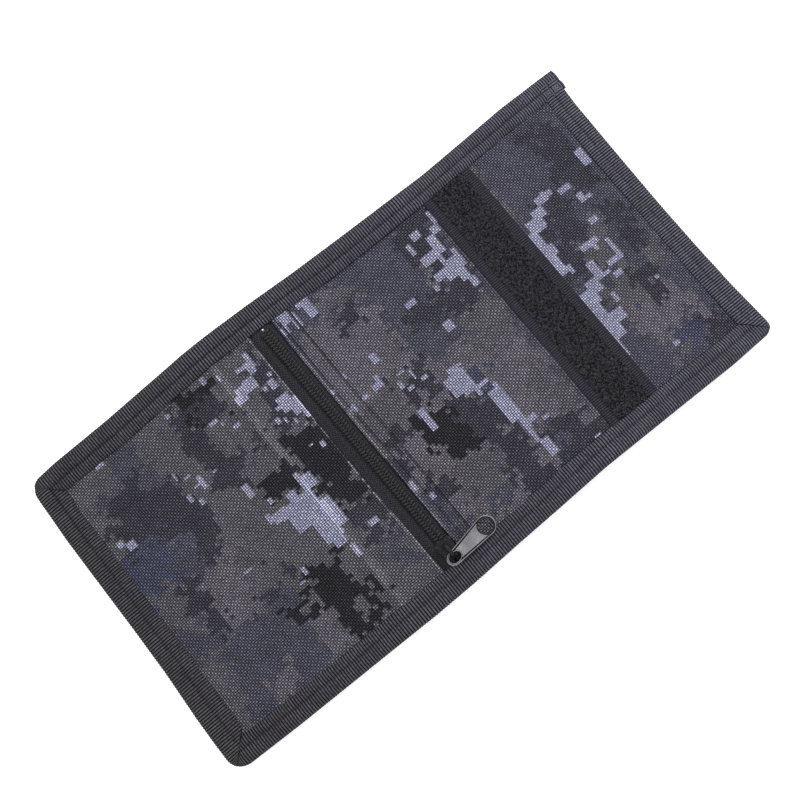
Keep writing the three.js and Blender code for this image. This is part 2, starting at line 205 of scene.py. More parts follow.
def piece_from(name, points, faces, material, plan=None, shades=None):
    """A mesh object from points in millimetres, with its plan as UV and a colour for each face."""
    mesh = bpy.data.meshes.new(name)
    mesh.from_pydata((np.asarray(points) * MM).tolist(), [], [list(map(int, face)) for face in faces])
    mesh.update()
    if plan is not None:
        corner_vertex = np.zeros(len(mesh.loops), int)
        mesh.loops.foreach_get("vertex_index", corner_vertex)
        layer = mesh.uv_layers.new(name="plan")
        layer.data.foreach_set("uv", np.asarray(plan)[corner_vertex, :2].astype(np.float32).ravel())
    if shades is not None:
        counts = [len(face) for face in faces]
        per_corner = np.repeat(np.column_stack([shades, np.ones(len(shades))]), counts, axis=0)
        layer = mesh.color_attributes.new("print", "FLOAT_COLOR", "CORNER")
        layer.data.foreach_set("color", per_corner.astype(np.float32).ravel())
    mesh.polygons.foreach_set("use_smooth", np.ones(len(mesh.polygons), bool))
    piece = bpy.data.objects.new(name, mesh)
    bpy.context.scene.collection.objects.link(piece)
    piece.data.materials.append(material)
    pieces[name] = piece


def grid_faces(rows, columns):
    """Quads of a grid of points stored row by row."""
    i, j = np.meshgrid(np.arange(rows - 1), np.arange(columns - 1), indexing="ij")
    corner = (i * columns + j).ravel()
    return np.column_stack([corner, corner + columns, corner + columns + 1, corner + 1])


def slab(name, x, y, top, bottom, material, shades=None):
    """Closed sheet between two height fields over a plan grid. Row index runs along X."""
    rows, columns = x.shape
    count = rows * columns
    upper = np.column_stack([x.ravel(), y.ravel(), top.ravel()])
    lower = np.column_stack([x.ravel(), y.ravel(), bottom.ravel()])
    plan = np.vstack([upper, lower])
    quads = grid_faces(rows, columns)
    index = np.arange(count).reshape(rows, columns)
    rim = np.concatenate([index[:, 0], index[-1, 1:], index[-2::-1, -1], index[0, -2:0:-1]])
    after = np.roll(rim, -1)
    side = np.column_stack([rim, rim + count, after + count, after])
    faces = np.vstack([quads, quads[:, ::-1] + count, side])
    colors = None
    if shades is not None:
        side_colors = np.tile(shades.reshape(-1, 3).mean(0), (len(side), 1))
        colors = np.vstack([shades.reshape(-1, 3), shades.reshape(-1, 3), side_colors])
    piece_from(name, settle(plan), faces, material, plan, colors)


def tube(path, radius, sides, up=(0, 0, 1)):
    """Points and faces of a round tube with flat ends, along a path of points."""
    path = np.asarray(path, float)
    ahead = np.roll(path, -1, 0) - np.roll(path, 1, 0)
    ahead[0] = path[1] - path[0]
    ahead[-1] = path[-1] - path[-2]
    ahead /= np.linalg.norm(ahead, axis=1)[:, None]
    across = np.cross(ahead, np.asarray(up, float))
    across[np.linalg.norm(across, axis=1) < 1e-6] = (1, 0, 0)
    across /= np.linalg.norm(across, axis=1)[:, None]
    over = np.cross(across, ahead)
    turn = np.linspace(0, 2 * math.pi, sides, endpoint=False)
    radii = np.broadcast_to(radius, (len(path),))[:, None, None]
    ring = across[:, None] * np.cos(turn)[None, :, None] + over[:, None] * np.sin(turn)[None, :, None]
    points = (path[:, None] + radii * ring).reshape(-1, 3)
    faces = []
    for a in range(0, (len(path) - 1) * sides, sides):
        b = a + sides
        faces += [(a + k, a + (k + 1) % sides, b + (k + 1) % sides, b + k) for k in range(sides)]
    faces += [tuple(range(sides - 1, -1, -1)), tuple(range(len(points) - sides, len(points)))]
    return points, faces


def gather(parts):
    """Several (points, faces) as one."""
    points, faces, start = [], [], 0
    for part_points, part_faces in parts:
        points.append(part_points)
        faces += [tuple(index + start for index in face) for face in part_faces]
        start += len(part_points)
    return np.vstack(points), faces


def clean(piece):
    """Merges points that coincide and drops the faces that this closes."""
    distance = 0.01 * MM
    work = bmesh.new()
    work.from_mesh(piece.data)
    bmesh.ops.remove_doubles(work, verts=work.verts, dist=distance)
    bmesh.ops.dissolve_degenerate(work, dist=distance / 2, edges=work.edges)
    work.to_mesh(piece.data)
    work.free()


# ---------------------------------------------------------------- material helpers

class Shader:
    """Short calls for building one material's nodes."""

    def __init__(self, name, roughness, specular=0.5, **inputs):
        self.material = bpy.data.materials.new(name)
        self.material.use_nodes = True
        self.tree = self.material.node_tree
        self.surface = self.tree.nodes["Principled BSDF"]
        inputs.update(Roughness=roughness, Specular_IOR_Level=specular)
        for key, value in inputs.items():
            self.surface.inputs[key.replace("_", " ")].default_value = value

    def node(self, kind, **settings):
        made = self.tree.nodes.new(kind)
        for key, value in settings.items():
            setattr(made, key, value)
        return made

    def join(self, source, target):
        self.tree.links.new(source, target)

    def feed(self, target, value):
        if isinstance(value, bpy.types.NodeSocket):
            self.join(value, target)
        else:
            target.default_value = value

    def math(self, operation, *values):
        made = self.node("ShaderNodeMath", operation=operation)
        for target, value in zip(made.inputs, values):
            self.feed(target, value)
        return made.outputs[0]

    def times(self, product, *factors):
        for factor in factors:
            product = self.math("MULTIPLY", product, factor)
        return product

    def ridges(self, value, pitch):
        """Round ridges side by side: 0 between two of them and 1 on top."""
        phase = self.math("FRACT", self.math("DIVIDE", value, pitch))
        return self.math("SINE", self.times(phase, math.pi))

    def stripes(self, value, pitch):
        """Waves from -1 to 1."""
        return self.math("SINE", self.times(value, 2 * math.pi / pitch))

    def split(self, vector):
        parts = self.node("ShaderNodeSeparateXYZ")
        self.join(vector, parts.inputs[0])
        return parts.outputs

    def plan(self):
        """The plan as one vector, and its X and y, in millimetres."""
        uv = self.node("ShaderNodeUVMap", uv_map="plan").outputs[0]
        x, y, _ = self.split(uv)
        return uv, x, y

    def body(self):
        """Object coordinates, in metres."""
        return self.node("ShaderNodeTexCoord").outputs["Object"]

    def printed(self):
        """The colour that a mesh carries on its faces."""
        return self.node("ShaderNodeVertexColor", layer_name="print").outputs["Color"]

    def noise(self, vector, scale, detail=2.0, roughness=0.5):
        made = self.node("ShaderNodeTexNoise")
        self.join(vector, made.inputs["Vector"])
        made.inputs["Scale"].default_value = scale
        made.inputs["Detail"].default_value = detail
        made.inputs["Roughness"].default_value = roughness
        return made.outputs[0]

    def ramp(self, value, low, high, start=0.0, end=1.0):
        made = self.node("ShaderNodeMapRange", clamp=True)
        self.feed(made.inputs["Value"], value)
        made.inputs["From Min"].default_value = start
        made.inputs["From Max"].default_value = end
        self.feed(made.inputs["To Min"], low)
        self.feed(made.inputs["To Max"], high)
        return made.outputs[0]

    def uneven(self, vector, scale, detail, low, high, roughness=0.5, start=0.3, end=0.7):
        """Random shade between a low and a high value."""
        return self.ramp(self.noise(vector, scale, detail, roughness), low, high, start, end)

    def mixed(self, factor, first, second):
        made = self.node("ShaderNodeMix", data_type="RGBA")
        self.feed(made.inputs[0], factor)
        self.feed(made.inputs[6], first)
        self.feed(made.inputs[7], second)
        return made.outputs[2]

    def bump(self, height, distance, strength=1.0):
        made = self.node("ShaderNodeBump")
        made.inputs["Strength"].default_value = strength
        made.inputs["Distance"].default_value = distance * MM
        self.join(height, made.inputs["Height"])
        self.join(made.outputs[0], self.surface.inputs["Normal"])

    def paint(self, color, *factors):
        """Base colour: a display colour, or the colour of a node, times numbers."""
        made = self.node("ShaderNodeVectorMath", operation="SCALE")
        self.feed(made.inputs[0], color if isinstance(color, bpy.types.NodeSocket) else tuple(linear(color)))
        self.feed(made.inputs["Scale"], self.times(*factors))
        self.join(made.outputs[0], self.surface.inputs["Base Color"])

    def rough(self, value):
        self.join(value, self.surface.inputs["Roughness"])


def rgba(color):
    return (*linear(color), 1.0)


def plain_weave(shader, x, y, pitch):
    """Cells of a plain weave: how near a point is to a cell's middle, and which thread is on top, 0 or 1."""
    cells = [shader.math("FLOOR", shader.math("DIVIDE", place, size)) for place, size in zip((x, y), pitch)]
    parity = shader.math("FLOORED_MODULO", shader.math("ADD", *cells), 2.0)
    bulge = shader.times(shader.ridges(x, pitch[0]), shader.ridges(y, pitch[1]))
    return shader.math("POWER", bulge, 0.55), parity


def camouflage_cloth():
    shader = Shader("camouflage_cloth", 0.8, 0.08)
    uv, x, y = shader.plan()
    x = shader.math("MULTIPLY_ADD", shader.noise(uv, 0.55), 0.5, x)
    y = shader.math("MULTIPLY_ADD", shader.noise(uv, 0.43), 0.5, y)
    cell, parity = plain_weave(shader, x, y, THREAD)
    printed = shader.printed()
    brightness = shader.split(printed)[0]
    # Painted sheen: the threads that lie on top are lighter, most of all on the dark parts of the print.
    sheen_strength = shader.ramp(brightness, 0.6, 0.2, 0.1, 0.3)
    thread = shader.math("MULTIPLY_ADD", shader.math("SUBTRACT", parity, 0.5), sheen_strength, 1.0)
    # Painted shade in the gaps between the threads.
    gap = shader.ramp(shader.math("POWER", cell, 1.6), 0.0, 2.1, 0.05, 0.95)
    shader.paint(printed, thread, gap, shader.uneven(uv, 1.5, 3.0, 0.3, 1.66, 0.75, 0.25, 0.75))
    relief = shader.math("MULTIPLY_ADD", shader.noise(uv, 7.0), 0.25, cell)
    shader.bump(shader.math("MULTIPLY_ADD", parity, 0.35, relief), 0.2)
    return shader.material


def lining_cloth():
    shader = Shader("lining_cloth", 0.7, 0.15)
    uv, x, y = shader.plan()
    height, parity = plain_weave(shader, x, y, (0.34, 0.34))
    shade = shader.times(shader.ramp(height, 0.3, 1.25), shader.ramp(parity, 0.8, 1.2))
    shader.paint((50, 50, 55), shade, shader.uneven(uv, 0.12, 3.0, 0.8, 1.2))
    shader.bump(height, 0.06)
    return shader.material


def binding_tape():
    """Ribbed tape. Its UV runs along the tape in X and across it in y."""
    shader = Shader("binding_tape", 0.75, 0.08)
    uv, along, across = shader.plan()
    rib = shader.ridges(along, RIB_PITCH)
    number = shader.math("FLOOR", shader.math("DIVIDE", along, RIB_PITCH))
    shift = shader.times(shader.math("FLOORED_MODULO", number, 2.0), math.pi)
    crossing = shader.math("SINE", shader.math("ADD", shader.times(across, 2 * math.pi / 0.6), shift))
    fine = shader.math("MULTIPLY_ADD", shader.stripes(across, 0.3), 0.5, shader.times(crossing, 0.5))
    body_x, body_y, _ = shader.split(shader.body())
    # Painted shade in the sewn groove, darker along the top edge than along the bottom.
    off_seam = shader.math("ABSOLUTE", shader.math("SUBTRACT", across, FLANGE_RUN - SEAM_DISTANCE))
    seam_shade = shader.ramp(body_y, 0.8, 0.42, 0.02, 0.06)
    factors = (
        # Painted shade between the ribs and painted highlight on their crowns.
        shader.ramp(rib, 0.02, 2.1, 0.3, 1.0),
        shader.ramp(fine, 0.42, 1.45, -1.0, 1.0),
        shader.uneven(uv, 1.1, 3.0, 0.35, 1.75, 0.7, 0.25, 0.75),
        shader.uneven(uv, 0.11, 3.0, 0.82, 1.22, 0.6),
        shader.ramp(off_seam, seam_shade, 1.0, 0.1, 0.7),
    )
    # Painted light: the tape turns lighter towards +X, the side that the light comes from.
    painted_light = shader.ramp(body_x, 0.0, 1.0, -0.125, 0.125)
    shader.paint(shader.mixed(painted_light, rgba((59, 58, 62)), rgba((72, 71, 82))), *factors)
    shader.bump(shader.math("MULTIPLY_ADD", fine, 0.2, shader.times(rib, 0.6)), 0.2)
    return shader.material


def zip_tape():
    """Herringbone weave: short diagonals that change direction every few threads."""
    shader = Shader("zip_tape", 0.8, 0.08)
    uv, x, y = shader.plan()
    ridge = shader.ridges(shader.math("ADD", y, shader.math("PINGPONG", x, 1.2)), 0.85)
    shade = shader.ramp(ridge, 0.15, 1.6)
    shader.paint((48, 47, 52), shade, shader.uneven(uv, 1.5, 3.0, 0.4, 1.65, 0.7))
    shader.bump(ridge, 0.1)
    return shader.material


def zip_nylon():
    shader = Shader("zip_nylon", 0.32, 0.36)
    # Random tone of the nylon; its brightest specks are painted glints on the teeth.
    shader.paint((22, 22, 25), shader.uneven(shader.body(), 1100.0, 3.0, 0.1, 2.8, 0.7, 0.3, 0.72))
    shader.rough(shader.uneven(shader.body(), 1500.0, 2.0, 0.32, 0.6))
    return shader.material


def loop_pile():
    shader = Shader("loop_pile", 0.8, 0.08)
    shader.paint((69, 68, 73), shader.uneven(shader.body(), 1900.0, 3.0, 0.0, 3.9, 0.8, 0.34, 0.74))
    return shader.material


def strip_ground():
    """The closure strip's woven ground, ribbed across at the selvages."""
    shader = Shader("strip_ground", 0.78, 0.08)
    uv, x, y = shader.plan()
    rib = shader.ridges(y, STRIP_RIB_PITCH)
    cross = shader.stripes(x, 0.42)
    off_middle = shader.math("ABSOLUTE", shader.math("SUBTRACT", x, sum(PILE_SPAN) / 2))
    factors = (
        # Painted shade between the selvage ribs.
        shader.ramp(rib, 0.05, 1.6),
        shader.ramp(cross, 0.6, 1.35, -1.0, 1.0),
        shader.uneven(uv, 1.7, 3.0, 0.4, 1.65, 0.7),
        # Painted shade on the ground under the loop pile.
        shader.ramp(off_middle, 0.3, 1.0, 7.3, 8.2),
    )
    shader.paint((49, 48, 56), *factors)
    shader.bump(shader.math("MULTIPLY_ADD", cross, 0.2, rib), 0.12)
    return shader.material


def hook_nylon():
    shader = Shader("hook_nylon", 0.5, 0.2)
    shader.paint((38, 38, 42), shader.uneven(shader.body(), 700.0, 2.0, 0.75, 1.3))
    return shader.material


def clear_vinyl():
    shader = Shader("clear_vinyl", 0.12, 0.3, IOR=1.5, Transmission_Weight=0.9, Alpha=0.28,
                    Base_Color=(0.8, 0.83, 0.85, 1))
    shader.bump(shader.noise(shader.body(), 60.0), 0.6, 0.4)
    return shader.material


def slider_enamel():
    shader = Shader("slider_enamel", 0.42, 0.16)
    speck = shader.noise(shader.body(), 1800.0, 3.0)
    wear_and_highlight = shader.ramp(speck, 0.0, 1.0, 0.55, 0.75)
    enamel = shader.mixed(wear_and_highlight, rgba((20, 20, 23)), rgba((62, 61, 64)))
    shader.join(enamel, shader.surface.inputs["Base Color"])
    shader.rough(shader.ramp(speck, 0.28, 0.5, 0.3, 0.7))
    shader.bump(speck, 0.03)
    return shader.material


def puller_nickel():
    shader = Shader("puller_nickel", 0.36, Metallic=1.0)
    grain = shader.noise(shader.body(), 4200.0, 3.0, 0.65)
    cloud = shader.uneven(shader.body(), 260.0, 3.0, 0.72, 1.12)
    shader.paint(shader.printed(), cloud, shader.ramp(grain, 0.62, 1.28, 0.3, 0.7))
    shader.rough(shader.ramp(grain, 0.28, 0.5, 0.3, 0.7))
    shader.bump(grain, 0.05)
    return shader.material


def sewing_thread():
    shader = Shader("sewing_thread", 0.6, 0.12)
    twist = shader.noise(shader.body(), 2600.0)
    shader.paint((46, 46, 56), shader.ramp(twist, 0.7, 1.35, 0.3, 0.7))
    shader.bump(twist, 0.05)
    return shader.material


CAMOUFLAGE = camouflage_cloth()
LINING = lining_cloth()
TAPE = binding_tape()
ZIP_TAPE = zip_tape()
ZIP_NYLON = zip_nylon()
PILE = loop_pile()
STRIP_GROUND = strip_ground()
HOOKS = hook_nylon()
VINYL = clear_vinyl()
ENAMEL = slider_enamel()
NICKEL = puller_nickel()
THREAD_MATERIAL = sewing_thread()

# ---------------------------------------------------------------- the printed camouflage

OLIVE = (87, 86, 92)
NAVY = (75, 74, 87)
DARK_NAVY = (60, 59, 69)
BLACKISH = (41, 40, 45)
BROWN = (96, 93, 102)
BLUE = (70, 72, 90)
PALE = (141, 141, 165)

# Areas of one tone, painted in this order: (tone, low X, high X, low y, high y).
AREAS = [
    # Front panel.
    (OLIVE, -125, -20, -62, 62), (NAVY, -96, -84, 33, 56), (NAVY, -106, -84, 30, 42),
    (DARK_NAVY, -104, -90, 28, 42), (DARK_NAVY, -109, -79, 14, 32), (NAVY, -96, -84, 44, 52),
    (DARK_NAVY, -91, -79, -1, 20), (BLUE, -116, -96, 1, 21), (NAVY, -99, -88, -2, 14),
    (DARK_NAVY, -105, -95, -26, 2), (NAVY, -116, -104, -24, -12), (OLIVE, -111, -105, -14, 4),
    (BROWN, -95, -80, -26, 0), (NAVY, -110, -73, -57, -25), (OLIVE, -116, -108, -45, -28),
    (BROWN, -100, -89, -54, -45), (NAVY, -84, -77, -44, -28), (BROWN, -74, -65, -55, -38),
    (DARK_NAVY, -71, -67, -21, -13), (DARK_NAVY, -81, -77, -25, -20), (BLACKISH, -78, -69, -35, -30),
    (DARK_NAVY, -69, -59, 15, 53), (BLACKISH, -61, -50, 40, 54), (DARK_NAVY, -58, -50, 38, 48),
    (DARK_NAVY, -62, -46, 19, 25), (BLACKISH, -57, -40, 1, 10), (BLACKISH, -41, -27, -18, 18),
    (DARK_NAVY, -40, -28, -32, -18), (BLACKISH, -65, -51, -56, -26), (BLACKISH, -60, -46, -56, -44),
    (OLIVE, -58, -53, -50, -44), (DARK_NAVY, -40, -27, 18, 36), (DARK_NAVY, -36, -27, 36, 50),
    (NAVY, -37, -29, -45, -32),
    # Middle panel.
    (BROWN, -19, 51, -62, 62), (NAVY, -17, 26, 41, 56), (BROWN, -2, 6, 46, 50), (OLIVE, 1, 10, 40, 46),
    (DARK_NAVY, 3, 8, 34, 40), (NAVY, 15, 38, 10, 56), (DARK_NAVY, 35, 54, 30, 56),
    (DARK_NAVY, 38, 48, 20, 27), (DARK_NAVY, 20, 50, 11, 24), (NAVY, 16, 36, 5, 16),
    (OLIVE, 36, 53, -4, 12), (DARK_NAVY, -16, -2, 0, 5), (OLIVE, -17, 2, -8, 8),
    (DARK_NAVY, -14, -4, -11, -4), (DARK_NAVY, 3, 15, -4, 10), (OLIVE, 4, 9, 2, 9),
    (BROWN, -12, 1, -29, -12), (DARK_NAVY, -17, -10, -21, -12), (BLACKISH, 1, 18, -30, -9),
    (DARK_NAVY, 14, 27, -30, -11), (BLUE, 24, 30, -14, -6), (DARK_NAVY, 14, 28, -56, -30),
    (NAVY, 0, 12, -50, -40), (OLIVE, -1, 14, -44, -30), (NAVY, -17, -9, -42, -28),
    (DARK_NAVY, -12, -4, -36, -26), (BROWN, 32, 53, -36, -14), (OLIVE, 41, 53, -45, -18),
    (DARK_NAVY, 32, 46, -56, -40), (NAVY, 33, 40, -46, -36), (DARK_NAVY, 44, 52, -56, -46),
    (NAVY, -18, -8, -56, -44),
    # Strip panel.
    (NAVY, 51, 125, -62, 62), (OLIVE, 74, 80, 30, 56), (NAVY, 76, 96, 34, 56), (DARK_NAVY, 79, 86, 11, 20),
    (DARK_NAVY, 84, 97, 8, 26), (DARK_NAVY, 79, 92, -6, 8), (OLIVE, 89, 98, -5, 10),
    (DARK_NAVY, 80, 85, -20, -14), (DARK_NAVY, 100, 112, 20, 52), (OLIVE, 99, 106, 4, 11),
    (OLIVE, 83, 98, -24, -9), (DARK_NAVY, 97, 106, -32, -14), (BROWN, 84, 108, -42, -26),
    (OLIVE, 88, 95, -50, -40), (BLUE, 94, 105, -52, -40), (NAVY, 76, 84, -56, -36),
    (OLIVE, 105, 115, -18, -8), (DARK_NAVY, 105, 115, -55, -44), (DARK_NAVY, 104, 113, -6, 14),
]

# Pale patches of the print: (low X, high X, low y, high y).
FRONT_PATCHES = [
    (-99.6, -96.3, 53, 54.2), (-110.9, -108.6, 25.6, 27.4), (-108.2, -105, 21.9, 25),
    (-79.3, -77.9, 31, 33.9), (-76.4, -73.7, 29, 30.3), (-73, -70.9, 22.4, 27.8), (-76, -73, 24.6, 25.6),
    (-67.3, -65, 24.6, 25.6), (-80.1, -78.6, 21.7, 24.2), (-77.5, -75.6, 18.1, 20.9),
    (-68.2, -66.4, 50.6, 52), (-80.7, -77.7, -11.3, -10), (-69.6, -68.2, -12.2, -11.2),
    (-67.9, -65, -27.2, -25.8), (-50.6, -48, 51.4, 54.4), (-44.9, -43.7, 48.5, 51),
    (-38.5, -35.1, 46.6, 48.3), (-35.1, -32.4, 43.1, 48.3), (-33.1, -31.9, 45.3, 51),
    (-44.6, -40.1, 37, 39.9), (-42.8, -34.9, 38.5, 42.4), (-39.2, -35.6, 42.4, 43.3),
    (-32.8, -29.9, 33.9, 37.8), (-34.9, -33.1, 35.6, 37.3), (-31.1, -28.9, 38.9, 40.6),
    (-50.9, -48.1, 31.4, 33.1), (-53.7, -52.4, 35.3, 37), (-57, -54, 38.1, 39.2),
    (-34.6, -28.9, 24.6, 30.6), (-31.7, -28.9, 21.7, 24.6), (-29, -27.2, 18.5, 27.4),
    (-36.5, -34.6, 27.1, 28.1), (-38.3, -37.3, 23.1, 25.3), (-36.1, -35.1, 21.4, 23.5),
    (-33.5, -32.4, 18.9, 21.4), (-32.1, -29.9, 16.6, 17.4), (-62.4, -59.9, 8.5, 13.9),
    (-35.3, -33.7, 9.2, 10.3), (-31.7, -29.9, 6.4, 8.9), (-58.3, -55.9, 2.1, 4.7), (-62.8, -60.3, -2.9, 1),
    (-60.3, -54.9, -4.7, -0.6), (-58.5, -43.9, -5.4, -1.8), (-56.4, -44.2, -12.6, -5.1),
    (-51.7, -48.5, -2.2, 1.9), (-45.6, -44, -2.2, 5.6), (-45.6, -40.6, -2, 3.3),
    (-44.6, -40.6, -19.9, -7.6), (-51.4, -44.2, -21.9, -12.6), (-49.2, -44.9, -25.1, -21.9),
    (-64.4, -62.6, -25.1, -21.9), (-36.1, -32.4, -26.5, -24.7), (-46.1, -44.2, -32.2, -27.2),
]
MIDDLE_PATCHES = [
    (-15.3, -10.7, 49.6, 54.4), (-15.3, -13.7, 46.9, 49.6), (-11.7, -10.7, 46.1, 49.6),
    (-9.8, -8.7, 46.1, 51.9), (-16.7, -15.9, 46.4, 50), (-6.9, -2.1, 51.7, 53.5), (-5.5, -2.1, 45.6, 51.7),
    (-10, -8.9, 20.3, 23), (2, 4.1, 18.3, 21.9), (-17, -15.3, 19.2, 20.4), (23.8, 27.9, 26, 28.5),
    (-4.8, -0.1, 10.6, 12.8), (-1.6, 0, 12.8, 14.9), (-9.6, -7.3, 10.3, 11.9), (-15.9, -13.6, 8.5, 11.7),
    (30.2, 33.1, 10.6, 13.9), (5, 8.4, 9.2, 10.3), (3.6, 5.2, 4.4, 7.8), (9.3, 10.7, 4.4, 8.9),
    (5.4, 8.1, 2.1, 4), (11.4, 14.5, 2.3, 3.9), (2.4, 5, -14.4, -5.1), (16.9, 25.2, -10.1, -2.2),
    (20.6, 24.9, -2.2, 0.3), (24.9, 26.6, -1.7, -0.6), (20.2, 25.6, -11.9, -10.1),
    (23.8, 25.6, -14.7, -11.1), (25.6, 29.5, -12.4, -11.3), (26.3, 31.4, -30.1, -15.8),
    (30.2, 31.3, -15.8, -14.4), (28.8, 31.6, -35.4, -30.1), (31.6, 35, -33.9, -31.5),
    (28.8, 30.6, -41.1, -35.4), (29.7, 33.4, -47.9, -41.1), (35.9, 38.8, -36.1, -34.6),
    (-15.9, -14.3, -27.2, -23.3), (-13.4, -11.4, -33.3, -30.8), (45.7, 48.1, -53.3, -52),
    (41.3, 44.7, 44.2, 47.1), (38.1, 39.9, 40.6, 44.9), (38.6, 45.2, 34, 38.1), (44.9, 48.8, 34.9, 42.4),
    (48.1, 52, 42.1, 44.9), (50.6, 52.7, 44.9, 50.6), (43.8, 45.8, 29.9, 34.9), (38.3, 50.9, 26.6, 29.9),
    (42.4, 49.5, 24.6, 26.6), (49.1, 51.3, 26, 34.2), (45.6, 49.5, 21, 24.6), (47.7, 49.9, 17.1, 21),
    (35.7, 37.6, 24.6, 26.7), (44.9, 49.3, 29.9, 31.4),
]
STRIP_PANEL_PATCHES = [
    (85.8, 91.1, 26.7, 30.1), (89.9, 94.4, 27.6, 29.9), (89.4, 91.1, 29.9, 31), (82, 87.2, 22.6, 26.6),
    (77, 84.7, 19.9, 24.6), (75.4, 83.3, 18.9, 20.3), (75.3, 78.9, 0.6, 20.6), (78.9, 81.1, 8.9, 13.4),
    (78.9, 80.8, -0.4, 3.1), (96, 101.1, 24.9, 27.4), (100.3, 102.7, 18.1, 22.1),
    (102.7, 105.8, 18.1, 19.7), (97.9, 101.1, 9.2, 12.1), (87.6, 96.1, 3, 5.6), (92.4, 94.4, 0.4, 3),
    (97.4, 99.7, -6.9, 2.4), (92.2, 99.7, -6.9, -5.1), (85.4, 88.6, -8.3, -1.1), (80.6, 91.5, -8.4, -6.9),
    (75.3, 75.9, -8.6, -5), (75.4, 85.1, -11.5, -8.6), (80, 85.1, -11.5, -6.7), (75.4, 81.9, -14.7, -11.5),
    (75.4, 80.1, -30.1, -14.7), (80.1, 85.1, -25.1, -20.8), (80.1, 81.1, -30, -25),
    (75.5, 76.7, -37.2, -30.1), (91.7, 95.4, -11.5, -9.7), (85.3, 87.2, -18.6, -14.9),
    (102.6, 105, -21.5, -19.9), (91.7, 94.4, -44.9, -43.3), (111.1, 114.6, 28.1, 35.6),
]
PATCHES = FRONT_PATCHES + MIDDLE_PATCHES + STRIP_PANEL_PATCHES


def depth_in(x, y, area):
    """How far points lie inside a rectangle. It is negative outside."""
    low_x, high_x, low_y, high_y = area
    return np.minimum(np.minimum(x - low_x, high_x - x), np.minimum(y - low_y, high_y - y))


def cell_draws(cell_x, cell_y, seed):
    """One random number from 0 to 1 for each printed cell."""
    table = np.random.default_rng(seed).random((256, 256))
    i = np.round(cell_x / PRINT_CELL[0] - 0.5).astype(int)
    j = np.round(cell_y / PRINT_CELL[1] - 0.5).astype(int)
    return table[i % 256, j % 256]


def printed_color(x, y):
    """The print's colour at plan points: areas with ragged edges, in small square cells."""
    cell_x = (np.floor(x / PRINT_CELL[0]) + 0.5) * PRINT_CELL[0]
    cell_y = (np.floor(y / PRINT_CELL[1]) + 0.5) * PRINT_CELL[1]
    color = np.broadcast_to(linear(NAVY), (*x.shape, 3)).copy()
    for index, (tone, *area) in enumerate(AREAS):
        ragged = 7.5 * (noise(cell_x, cell_y, 4.2, 200 + index) - 0.5)
        ragged += 4.5 * (cell_draws(cell_x, cell_y, 300 + index) - 0.5)
        color[depth_in(cell_x, cell_y, area) + ragged > 0] = linear(tone)
    pale = np.zeros(x.shape, bool)
    for patch in PATCHES:
        pale |= depth_in(x, y, patch) > 0
    color[pale] = linear(PALE)
    fleck = 0.92 + 0.28 * cell_draws(cell_x, cell_y, 51)
    cloud = 0.9 + 0.2 * noise(x, y, 6, 52)
    return color * (fleck * cloud)[..., None]


# ---------------------------------------------------------------- printed cloth

def cloth_height(x, y):
    """Top of the outer cloth: flat over the panels, softly uneven, with puckers beside the sewn edges."""
    broad = 0.9 * (noise(x, y, 24, 61) - 0.5) + 0.35 * (noise(x, y, 9, 62) - 0.5)
    to_top = top_edge(x) - 10 - y
    to_bottom = y - bottom_edge(x) - 10
    pucker = 0.16 * np.sin(x / 1.15 + 5 * noise(x, y, 7, 63))
    near = np.exp(-np.maximum(to_top, 0) / 3.0) + np.exp(-np.maximum(to_bottom, 0) / 3.0)
    left_crease = 0.5 * bell(x, LEFT_FOLD, 1.6) * (0.4 + noise(x, y, 12, 64))
    right_crease = 0.3 * bell(x, RIGHT_FOLD, 1.8)
    return CLOTH_TOP + broad * 0.6 + pucker * near - 0.25 * near + left_crease + right_crease


# Two rows of stitches beside the zip hold the coin pocket's facing.
first_row = curve([(-55, -13.4), (-25, -13.6), (0, -14.8), (40, -15.6), (55, -15.7)])
second_row = curve([(-55, -9.3), (0, -9.6), (40, -10.3), (55, -10.4)])


